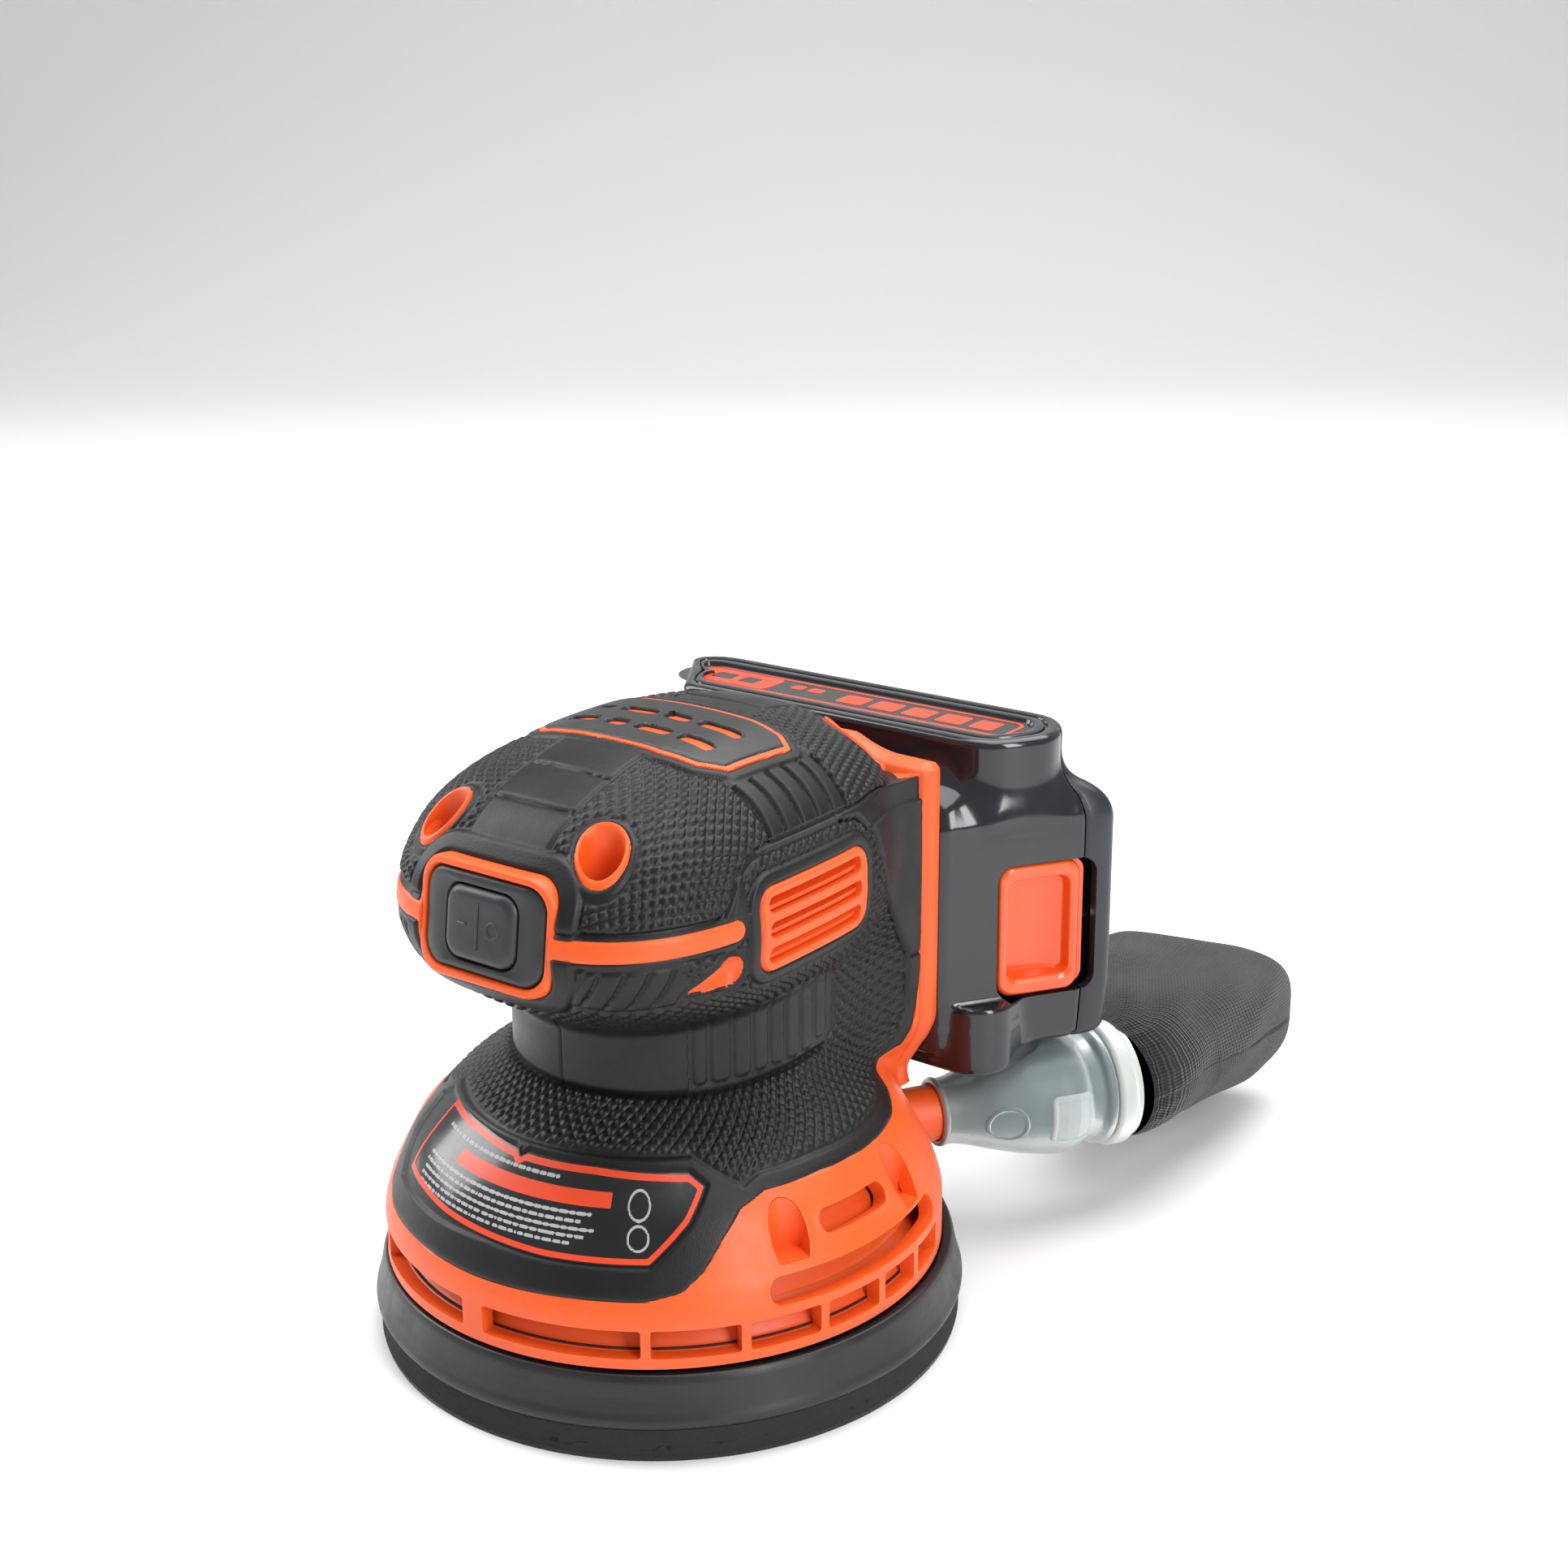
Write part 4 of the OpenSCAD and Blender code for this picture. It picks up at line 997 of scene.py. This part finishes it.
def make_switch():
    bow = lambda x: -0.0075 * x * x
    V, F = stack([(34.6, 23.6, 6.3, -4), (34.6, 23.6, 6.3, 0.9), (34.4, 23.4, 6.2, 1.7),
                 (33.6, 22.6, 5.8, 2.35), (32.6, 21.6, 5.3, 2.5),
                  (31.6, 20.6, 5, 2.35), (30.9, 19.9, 4.8, 1.7), (30.8, 19.8, 4.7, -3)], cap=False)
    V[:, 2] += bow(V[:, 0])
    build("switch_surround_skin", on_switch(V), F, "orange", "casing", ("switch_surround",))
    V, F = stack([(30.6, 19.6, 4.7, -3.5), (30.6, 19.6, 4.7, 0.9), (30.3, 19.3, 4.6, 1.5),
                 (29.6, 18.6, 4.4, 1.95), (28.6, 17.6, 4.2, 2.1),
                  (24, 16.6, 4.2, 2.05), (20.5, 16.0, 4.2, 1.85), (18.9, 15.4, 4.0, 1.75),
                  (18.3, 14.9, 3.8, 1.3), (18.2, 14.8, 3.8, -2)], cap=False)
    V[:, 2] += bow(V[:, 0])
    build("switch_boot_skin", on_switch(V), F, "boot", "casing", ("switch_boot",))
    V, F = stack([(17.8, 14.4, 3.6, -3), (17.8, 14.4, 3.6, 1.35), (17.5, 14.1, 3.5, 1.8),
                 (16.6, 13.2, 3.3, 2.35), (15.6, 12.2, 3.0, 2.65),
                  (14.2, 10.8, 2.6, 2.72), (9, 7, 1.6, 2.55), (4, 3, 1, 2.5)])
    V[:, 2] += bow(V[:, 0])
    build("switch_rocker_skin", on_switch(V), F, "boot", "rocker", ("switch_rocker",))

    def ridge(name, path, r=0.33):
        path = np.asarray(path, float)
        closed = np.allclose(path[0], path[-1])
        if closed:
            path = path[:-1]
        tan = np.roll(path, -1, 0) - np.roll(path, 1, 0) if closed else np.gradient(path, axis=0)
        tan /= np.linalg.norm(tan, axis=1, keepdims=True)
        side = np.stack([-tan[:, 1], tan[:, 0]], -1)
        a = np.linspace(-0.3, math.pi + 0.3, 9)
        zz = np.full(len(path), 2.5)
        W = np.stack([path[:, [0]] + side[:, [0]] * np.cos(a) * r,
                     path[:, [1]] + side[:, [1]] * np.cos(a) * r,
                      (zz + bow(path[:, 0]))[:, None] + np.sin(a) * r], -1)
        if not closed:
            W[0, :, :2] = path[0]
            W[-1, :, :2] = path[-1]
            F = grid_faces(len(path), len(a), wrap=False)
        else:
            F = grid_faces(len(path), len(a), wrap=False)
            n, m = len(path), len(a)
            j = np.arange(m - 1)
            F = np.concatenate([F, np.stack([(n - 1) * m + j, (n - 1) * m + j + 1, j + 1, j], 1)])
        build(name, on_switch(W.reshape(-1, 3)), [F], "boot", "rocker", ())

    ridge("rocker_divide", [(0.0, v) for v in np.linspace(-4.6, 4.6, 14)], 0.3)
    ridge("rocker_off", [(3.9 + 1.5 * math.cos(t), 1.5 * math.sin(t)) for t in np.linspace(0, 2 * math.pi,
          29)], 0.32)
    ridge("rocker_on", [(v, 0.0) for v in np.linspace(-5.2, -2.8, 8)], 0.34)


make_switch()


# ---------------------------------------------------------------- pack

SEAM = 79.5
FACE = np.array([0.5535, 0.8328])


RIDGE_X, RIDGE_Y, RIDGE_TOP = -4.6, 74.4, 119.2


def pack_field(x, y, z):
    ax = np.abs(x)
    slant = (ax - 36) * FACE[1] - (y - 50.4) * FACE[0]
    plan = smax(50.4 - y, slant, 3.0)
    plan = smax(plan, ax - 58.8, 3.0)
    plan = smax(plan, y - 88.4, 4.0)
    low = smax(plan + np.clip(60 - z, 0, 10) * 0.06, 47.6 - z, 3.2)
    body = smax(low, (z - 104.2) * 0.8 + plan * 0.6, 4.5)
    ridge = np.hypot(np.maximum(np.abs(x - RIDGE_X) - 39.7, 0), y - RIDGE_Y) - 14.3
    ridge = smax(smax(smax(ridge, plan + 0.3, 2.0), z - RIDGE_TOP, 1.8), 100 - z, 1)
    foot = smax(rbox(ax, y, 0, 67.7, 47.6, 14.3, 9), 43.9 - z, 2.2)
    foot = smax(foot, z - 60, 1)
    return smin(smin(body, ridge, 4.5), foot, 1.2)


def pack_centre(z):
    return np.full(len(np.atleast_1d(z)), 70.0)


def tuck(node, look):
    """The pack's inner part, drawn in until all of it lies inside the rounded shell."""
    obj = frame["nodes"][node]
    V = np.array([tuple(obj.matrix_world @ v.co) for v in obj.data.vertices]) / MM
    mid = np.array([0.0, 69.0, 82.0])

    def room(Q):
        clear = (Q[:, 0] - 36) * FACE[1] - (Q[:, 1] - 50.4) * FACE[0] < -11.0
        return (pack_field(Q[:, 0], Q[:, 1], Q[:, 2]) < -3.0) & (clear | (node != "cells"))

    lo, hi = np.zeros(len(V)), np.ones(len(V))
    for _ in range(14):
        t = (lo + hi) / 2
        Q = mid + (V - mid) * t[:, None]
        ok = room(Q)
        lo, hi = np.where(ok, t, lo), np.where(ok, hi, t)
    out = ~room(V)
    V[out] = (mid + (V - mid) * lo[:, None])[out]
    obj.data.calc_loop_triangles()
    T = np.array([t.vertices[:] for t in obj.data.loop_triangles])
    build(node + "_in", V, [T], look, "pack", (node,), sharp=40)


def make_pack():
    pitch, cols = ((0.6, 760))
    zz, _ = row_heights(pack_field, pack_centre, 43.95, RIDGE_TOP - 0.05, pitch, 75, sides=24)
    S, _ = polar_skin(pack_field, pack_centre, zz, cols, 75)
    N = grid_normals(S)
    x, y, z = S[..., 0], S[..., 1], S[..., 2]
    ax = np.abs(x)
    tris = triangles(grid_faces(len(zz), cols))
    h = np.zeros(x.shape)
    for zl, k in ((100.3, 0.1), (54.6, -0.1)):
        h += k * np.where(y < SEAM, step(z - zl, -0.3, 0.3), 0)
    s = (ax - 36) * FACE[0] + (y - 50.4) * FACE[1]
    depth = (ax - 36) * FACE[1] - (y - 50.4) * FACE[0]
    win = np.where((s > 8) & (np.abs(depth) < 6) & (ax > 36) & (x > 0),
                   rbox(s, z, 26.1, 75.3, 11.9, 15.6, 3.8), 1e3)
    h = h - 0.35 * (1 - step(np.abs(y - SEAM), 0.1, 0.8))
    pos = S + N * h[..., None]
    data = np.concatenate([pos.reshape(-1, 3), N.reshape(-1, 3), y.reshape(-1, 1)], 1)
    P, T = clip(data, tris, win.ravel())
    for name, sign, look, slot, node in (("pack_front_skin", -1, "gloss", "pack_gloss", "pack_front"),
                                         ("pack_rear_skin", 1, "satin", "pack_satin", "pack_rear")):
        Q, U = compact(*clip(P, T, sign * (P[:, 6] - SEAM) - 0.14))
        V, W = walls(Q[:, :3], Q[:, 3:6], U, 2.2)
        build(name, V, [U, W], look, "pack", (node,), sharp=45)
    # bottom of the foot
    o = S[0]
    k = len(o)
    V = np.concatenate([o, o * [0.5, 1, 1], [[0, 67.7, 43.95]]])
    V[k:2 * k, 1] = 67.7 + (o[:, 1] - 67.7) * 0.5
    i = np.arange(k)
    build("pack_foot_bottom", V, [np.stack([i, i + k, (i + 1) % k + k, (i + 1) % k], 1),
          np.stack([i + k, np.full(k, 2 * k), (i + 1) % k + k], 1)],
          "gloss", "pack", ())
    # cap of the ridge: rim, groove, rim, recess
    rings = [(0.0, 0.0), (0.5, 0.0), (1.5, 0.02), (1.9, -0.1), (2.15, -0.75), (2.5, -0.8), (2.8, -0.12),
             (3.3, 0.0), (4.6, 0.0), (5.0, -0.1),
             (5.35, -0.85), (5.7, -0.95)]
    top = S[-1]

    def inset(q, dist):
        out = q.copy()
        u = q[:, 0] - RIDGE_X
        nx = np.where(np.abs(u) > 39.7, u - np.sign(u) * 39.7, 0)
        ny = q[:, 1] - RIDGE_Y
        ln = np.hypot(nx, ny)
        out[:, 0] = q[:, 0] - nx / ln * dist
        out[:, 1] = q[:, 1] - ny / ln * dist
        return out

    V = []
    for dist, rise in rings:
        q = inset(top, dist)
        q[:, 2] = RIDGE_TOP - 0.05 + rise
        V.append(q)
    last = V[-1].copy()
    mid = last.copy()
    mid[:, 1] = RIDGE_Y
    mid[:, 0] = np.clip(mid[:, 0], RIDGE_X - 39.7, RIDGE_X + 39.7)
    V.append(mid)
    F = grid_faces(len(V), cols)
    build("pack_ridge_cap", np.concatenate(V), [F], "gloss", "pack", (), sharp=30)
    pack_label()
    pack_button()
    for node, look, slot in (("cells", "cell", "cell_wrap"), ("cell_holder", "inner", "inner_plastic"),
                             ("pack_board", "board", "board"),
                             ("pack_screws", "steel", "steel")):
        tuck(node, look)


def flat_film(name, f, xs, ys, z, look, body, hides=(), thick=0.2):
    X, Y = np.meshgrid(xs, ys)
    P = np.stack([X + RIDGE_X, Y + RIDGE_Y - 67.7, np.full(X.shape, z)], -1).reshape(-1, 3)
    T = triangles(grid_faces(len(ys), len(xs), wrap=False))
    Q, U = compact(*clip(P, T, f(X, Y).ravel()))
    N = np.zeros_like(Q)
    N[:, 2] = 1
    V, W = walls(Q, N, U, thick)
    build(name, V, [U, W], look, body, hides, sharp=40)


def pack_label():
    xs, ys = np.linspace(-49, 49, 393), np.linspace(58, 77.5, 79)
    z = RIDGE_TOP - 0.85
    flat_film("pack_label_film", lambda X, Y: 8.3 - np.hypot(np.maximum(np.abs(X) - 39.7, 0), Y - 67.7), xs,
              ys, z - 0.06, "label", "pack", ("pack_label",))
    outline = lambda X, Y: -rbox(X, Y, 0, 67.7, 44.5, 5.9, 3.4)
    flat_film("pack_label_line", lambda X, Y: np.minimum(outline(X, Y), 0.85 - outline(X, Y)), xs, ys, z,
              "label_red", "pack")

    def blocks(X, Y):
        best = -rbox(X, Y, -32.5, 67.7, 11.4, 5.4, 3)
        hole = np.minimum(rbox(X, Y, -36, 67.7, 3.0, 2.2, 0.8), rbox(X, Y, -28.6, 67.7, 2.4, 2.2, 0.8))
        best = np.minimum(best, hole)
        for a, b in ((-17, -13.6), (-12.2, -8.2), (-2, 5), (7, 14), (16, 23), (25, 32), (34, 40)):
            tall = 3.1 if a > -3 else 1.5
            best = np.maximum(best, -rbox(X, Y, (a + b) / 2, 67.7 + (0 if a > -3 else 1.4), (b - a) / 2,
                              tall, 0.8))
        return best

    flat_film("pack_label_blocks", blocks, xs, ys, z, "label_red", "pack")


def on_face(s, n, z):
    """Point at s along the slanted end face, n mm inside it."""
    e = FACE
    inn = np.array([-FACE[1], FACE[0]])
    return np.stack([36 + s * e[0] + n * inn[0], 50.4 + s * e[1] + n * inn[1], z], -1)


def pack_button():
    s0, s1, z0, z1 = 14.7, 34.2, 60.2, 90.6
    s, z = np.linspace(s0, s1, 100), np.linspace(z0, z1, 150)
    Sg, Zg = np.meshgrid(s, z)
    out = rbox(Sg, Zg, (s0 + s1) / 2, (z0 + z1) / 2, (s1 - s0) / 2, (z1 - z0) / 2, 3.4)
    sc = rbox(Sg, Zg, 24.4, 75.6, 7.7, 11.8, 2.6)
    sweep = np.sqrt(np.clip(1 - ((Sg - 22.6) / 9.8) ** 2, 0, 1))
    depth = 0.2 + 4.3 * sweep * (1 - step(sc, -1.1, 0.1)) + 0.3 * (1 - step(sc, 0.1, 1.0))
    depth = depth + 1.2 * (1 - np.sqrt(np.clip(1 - ((1.3 - np.clip(-out, 0, 1.3)) / 1.3) ** 2, 0, 1)))
    P = on_face(Sg, depth, Zg).reshape(-1, 3)
    n = np.array([FACE[1], -FACE[0], 0])
    data = np.concatenate([P, np.repeat(n[None], len(P), 0)], 1)
    Q, U = compact(*clip(data, triangles(grid_faces(len(z), len(s), wrap=False)), (-out).ravel()))
    V, W = walls(Q[:, :3], Q[:, 3:6], U, 1.6)
    build("release_button_skin", V, [U, W], "button", "release", ("release_button",),
          sharp=40)
    back = np.linspace(s0 + 0.6, s1 + 1.5, 60)
    Sg, Zg = np.meshgrid(back, z)
    out = rbox(Sg, Zg, (back[0] + back[-1]) / 2, (z0 + z1) / 2 + 0.2, (back[-1] - back[0]) / 2,
               (z1 - z0) / 2 - 0.4, 3.0)
    P = on_face(Sg, np.full(Sg.shape, 2.3), Zg).reshape(-1, 3)
    data = np.concatenate([P, np.repeat(n[None], len(P), 0)], 1)
    frame_f = np.minimum(-out, sc_outer(Sg, Zg)).ravel()
    Q, U = compact(*clip(data, triangles(grid_faces(len(z), len(back), wrap=False)), frame_f))
    V, W = walls(Q[:, :3], Q[:, 3:6], U, 1.4)
    build("release_button_base", V, [U, W], "button", "release", (), sharp=40)


def sc_outer(s, z):
    return rbox(s, z, 24.4, 75.6, 8.6, 12.8, 2.6)


make_pack()


# ---------------------------------------------------------------- dust port, adapter, bag

def make_dust():
    turned("adapter_shell", [(6.6, 0.5), (7.5, 0.5), (7.7, 3.5), (8.6, 7), (10.3, 12), (12.6, 19.5),
           (14.1, 27), (14.3, 30), (13.6, 32.6), (12.3, 34),
                             (12.2, 37.6), (13.7, 38.2), (13.8, 40.1), (12.4, 40.4), (12.4, 46.4),
                             (11.2, 46.4), (11.2, 35), (12.5, 32), (12.9, 28),
                             (11.2, 20), (8.4, 12), (6.8, 10)],
           "adapter", "adapter", "clear_grey", ("dust_adapter",), 1.2, 140)
    turned("adapter_lip", [(6.6, -0.4), (7.5, -0.4), (7.9, 0.1), (7.9, 0.8), (7.5, 1.1), (6.6, 1.1)], "rim",
           "adapter", "rim_grey", ("adapter_rim",), 0.3)
    turned("collar_ring", [(12.5, 40.5), (13.7, 40.5), (14.4, 41.2), (14.45, 44.4), (13.9, 45.2),
           (13.2, 45.3), (13.2, 46.8), (12.5, 46.8)],
           "collar", "bag", "collar_white", ("bag_collar",), 0.5, 140)
    # raised plain window frame and boss on the adapter's side
    for name, (a0, sc_), half_a, half_s, r, ring, look in (("adapter_window", (-4, 28.6), 25, 5.2, 1.6, 0.55, "adapter_pale"),
                                                       ("adapter_boss", (-6, 13.5), 24, 4.9, 4.6, 0.5,
                                                        "adapter")):
        aa, ss = np.linspace(a0 - half_a - 4, a0 + half_a + 4, 130), np.linspace(sc_ - half_s - 1, sc_ + half_s + 1, 90)
        A, SS = np.meshgrid(np.radians(aa), ss)
        R = np.interp(SS, [0.5, 3.5, 7, 12, 19.5, 27, 30, 32.6, 34],
                      [7.5, 7.7, 8.6, 10.3, 12.6, 14.1, 14.3, 13.6, 12.3])
        mid = float(np.interp(sc_, [0.5, 3.5, 7, 12, 19.5, 27, 30, 32.6, 34],
                    [7.5, 7.7, 8.6, 10.3, 12.6, 14.1, 14.3, 13.6, 12.3]))
        d = rbox((A - math.radians(a0)) * mid, SS, 0, sc_, math.radians(half_a) * mid, half_s, r)
        lift = 0.05 + 0.35 * (1 - step(np.abs(d + 0.6), ring * 0.4, ring * 1.3))
        X = (R + lift) * np.cos(A)
        V = np.stack([X, (R + lift) * np.sin(A), SS], -1)
        Nn = np.stack([np.cos(A), np.sin(A), 0 * A], -1)
        u = np.array([math.cos(PORT), -math.sin(PORT), 0])
        N3 = Nn[..., [0]] * u + Nn[..., [1]] * np.array([0, 0, 1.0])
        skin(name, on_port(V), N3, triangles(grid_faces(len(ss), len(aa), wrap=False)), -d, 0.6, look,
             "adapter")


make_dust()


def make_pad():
    turned("skirt", [(58.8, 18), (60.8, 18), (61.4, 16.6), (62.0, 13.4), (62.7, 10.6), (63.25, 9.1),
           (63.3, 8.2), (62.7, 7.1), (60, 7.05),
                     (0.6, 7.05), (0.6, 9.8), (58.4, 9.8)], "skirt", "pad", "platen_black", ("platen",), 0.5,
                     220, port=False, shift=(0, 1.2, 0))
    a = np.linspace(0, 2 * math.pi, 420, endpoint=False)
    prof = [(62.4, 7.0), (61.7, 6.3), (61.9, 5.4), (62.35, 4.6), (62.5, 3.6), (62.45, 2.7), (62.3, 1.9),
            (61.9, 1.25)]
    V = []
    for i, (r, z) in enumerate(prof):
        ragged = rng.normal(0, 0.10, len(a))
        ragged = (ragged + np.roll(ragged, 1) + np.roll(ragged, -1)) / 2
        rr = np.minimum(r - 0.05 + ragged * (0 < i), 62.5)
        V.append(np.stack([rr * np.cos(a), 1.2 + rr * np.sin(a), np.full(len(a), z)], -1))
    F = grid_faces(len(prof), len(a))
    build("foam_edge", np.concatenate(V), [F[:, ::-1]], "foam", "pad", (), sharp=60)


make_pad()


def make_bag():
    """A flat woven bag on its collar: round at the mouth, flattening to a seamed end, sagging, with one long crease."""
    rows, cols = ((150, 260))
    e = np.array([math.sin(PORT), math.cos(PORT), 0])
    V = []
    UV = []
    t = np.linspace(0, 1, rows)
    a = np.linspace(0, 2 * math.pi, cols, endpoint=False)
    start = np.array([PORT_X, PORT_Y, PORT_Z]) + 45.4 * e
    path_t = [0, 0.08, 0.3, 0.6, 0.85, 0.97, 1.0]
    cx = curve(path_t, [start[0], start[0] + 1.0, 50, 43, 38.5, 37.0, 36.8], t)
    cy = curve(path_t, [start[1], start[1] + 4.5, 117, 141, 161, 170.5, 171.6], t)
    cz = curve(path_t, [31, 31.4, 30.0, 26.8, 24.6, 24.0, 24.0], t)
    wide = curve(path_t, [13.4, 14.6, 20, 26, 27.5, 26.2, 24.2], t)
    tall = curve(path_t, [13.4, 14.2, 16.6, 16.8, 16.0, 14.6, 12.0], t)
    square = curve(path_t, [2.0, 2.05, 2.3, 2.8, 3.4, 3.8, 4.0], t)
    tx, ty = np.gradient(cx), np.gradient(cy)
    ln = np.hypot(tx, ty)
    tx, ty = tx / ln, ty / ln
    length = np.concatenate([[0], np.cumsum(np.hypot(np.diff(cx), np.diff(cy)))])
    girth = np.zeros(rows)  # of the cut, which has no creases, folds or gathers
    for i in range(rows):
        k = 2 / square[i]
        c, s = np.cos(a), np.sin(a)
        u = wide[i] * np.sign(c) * np.abs(c) ** k
        v = tall[i] * np.sign(s) * np.abs(s) ** k
        girth[i] = np.sum(np.hypot(np.roll(u, -1) - u, np.roll(v, -1) - v))
        full = t[i] * (1 - t[i]) * 4
        crease = np.exp(-((c - 0.25 + 0.3 * t[i]) / 0.16) ** 2) * (s > 0) * full * 1.9
        crease += np.exp(-((c + 0.45 - 0.2 * t[i]) / 0.2) ** 2) * (s > 0) * full * 1.1
        folds = 0.5 * np.sin(a * 5 + 7 * t[i]) * full + 0.32 * np.sin(a * 9 - 13 * t[i] + 1.3) * full
        gather = 0.45 * np.sin(a * 23) * np.exp(-t[i] / 0.07) * step(t[i], 0.005, 0.03)
        u = u * (1 + (folds + gather) / 30)
        v = v * (1 + (folds + gather) / 24) - crease
        v = np.maximum(v, 8.4 - cz[i])
        px = cx[i] + u * ty[i]
        py = cy[i] - u * tx[i]
        V.append(np.stack([px, py, cz[i] + v], -1))
        around = np.cumsum(np.hypot(np.diff(np.append(u, u[0])), np.diff(np.append(v, v[0]))))
        UV.append(np.stack([np.concatenate([[0], around[:-1]]) * MM, np.full(cols, length[i]) * MM], -1))
    F = grid_faces(rows, cols)
    V, UV = np.concatenate(V), np.concatenate(UV)
    n = rows * cols
    end = V[-cols:]
    extra_v, extra_uv, faces = [], [], [F[:, ::-1]]
    prev = (rows - 1) * cols
    base = n
    for f, out in ((0.75, 0.9), (0.4, 1.5), (0.0, 1.7)):
        ring = end.copy()
        ring[:, 2] = 24.0 + (end[:, 2] - 24.0) * f
        ring[:, 0] += tx[-1] * out
        ring[:, 1] += ty[-1] * out
        extra_v.append(ring)
        extra_uv.append(UV[-cols:] + [0, out * MM])
        i = np.arange(cols)
        j = (i + 1) % cols
        faces.append(np.stack([prev + i, base + i, base + j, prev + j], 1))
        prev, base = base, base + cols
    V = np.concatenate([V] + extra_v)
    UV = np.concatenate([UV] + extra_uv)
    bag = build("bag_cloth", V, faces, "bag", "bag", ("dust_bag",), sharp=0, uv=UV)


make_bag()


# ---------------------------------------------------------------- CAD nodes that show as they are

look_of = {}
for entry in frame["record"]["subparts"]:
    look_of[entry["node"]] = SLOT_LOOK.get(entry["material_slot"], "inner")
for name, obj in frame["nodes"].items():
    mat = M[look_of.get(name, "inner")]
    if obj.data.materials:
        for i in range(len(obj.data.materials)):
            obj.data.materials[i] = mat
    else:
        obj.data.materials.append(mat)


# ---------------------------------------------------------------- floor and light

def make_stage():
    mat, nt, bsdf = node_tree("paper")
    coord = add(nt, "ShaderNodeTexCoord").outputs["Object"]
    slow = noise(nt, coord, 3, 2.0)
    mix = add(nt, "ShaderNodeMix", data_type="RGBA")
    mix.inputs[6].default_value = (0.86, 0.865, 0.87, 1)
    mix.inputs[7].default_value = (0.89, 0.89, 0.89, 1)
    nt.links.new(slow, mix.inputs[0])
    nt.links.new(mix.outputs[2], bsdf.inputs["Base Color"])
    bsdf.inputs["Roughness"].default_value = 0.55
    bsdf.inputs["Specular IOR Level"].default_value = 0.3
    mesh = bpy.data.meshes.new("floor")
    prof = [(-4, 0.0)] + [(1.4 + 0.9 * math.sin(a), 0.9 - 0.9 * math.cos(a)) for a in np.linspace(0,
                          math.pi / 2, 16)] + [(2.3, 4.0)]
    verts = [(x, y, z) for x in (-5, 5) for y, z in prof]
    n = len(prof)
    faces = [(i, i + 1, n + i + 1, n + i) for i in range(n - 1)]
    mesh.from_pydata([Matrix.Rotation(math.radians(37), 3, "Z") @ Vector(v) for v in verts], [], faces)
    for p in mesh.polygons:
        p.use_smooth = True
    mesh.materials.append(mat)
    obj = bpy.data.objects.new("floor", mesh)
    scene.collection.objects.link(obj)


def area_light(name, place, target, size, power, size_y=None):
    data = bpy.data.lights.new(name, "AREA")
    data.energy = power
    data.shape = "RECTANGLE"
    data.size = size
    data.size_y = size_y or size
    obj = bpy.data.objects.new(name, data)
    scene.collection.objects.link(obj)
    obj.location = place
    obj.rotation_euler = (Vector(target) - Vector(place)).to_track_quat("-Z", "Y").to_euler()
    return obj


make_stage()
world = bpy.data.worlds.new("world")
scene.world = world
world.use_nodes = True
world.node_tree.nodes["Background"].inputs["Color"].default_value = (0.97, 0.98, 1.0, 1)
world.node_tree.nodes["Background"].inputs["Strength"].default_value = 0.40
area_light("top", (0.05, 0.35, 1.25), (0, 0.05, 0.03), 1.3, 25, 1.5)
area_light("left", (-1.0, -0.25, 0.75), (0, 0, 0.06), 0.6, 11.5, 1.1)
area_light("right", (1.05, -0.25, 0.6), (0.02, 0.05, 0.07), 0.3, 9, 0.9)
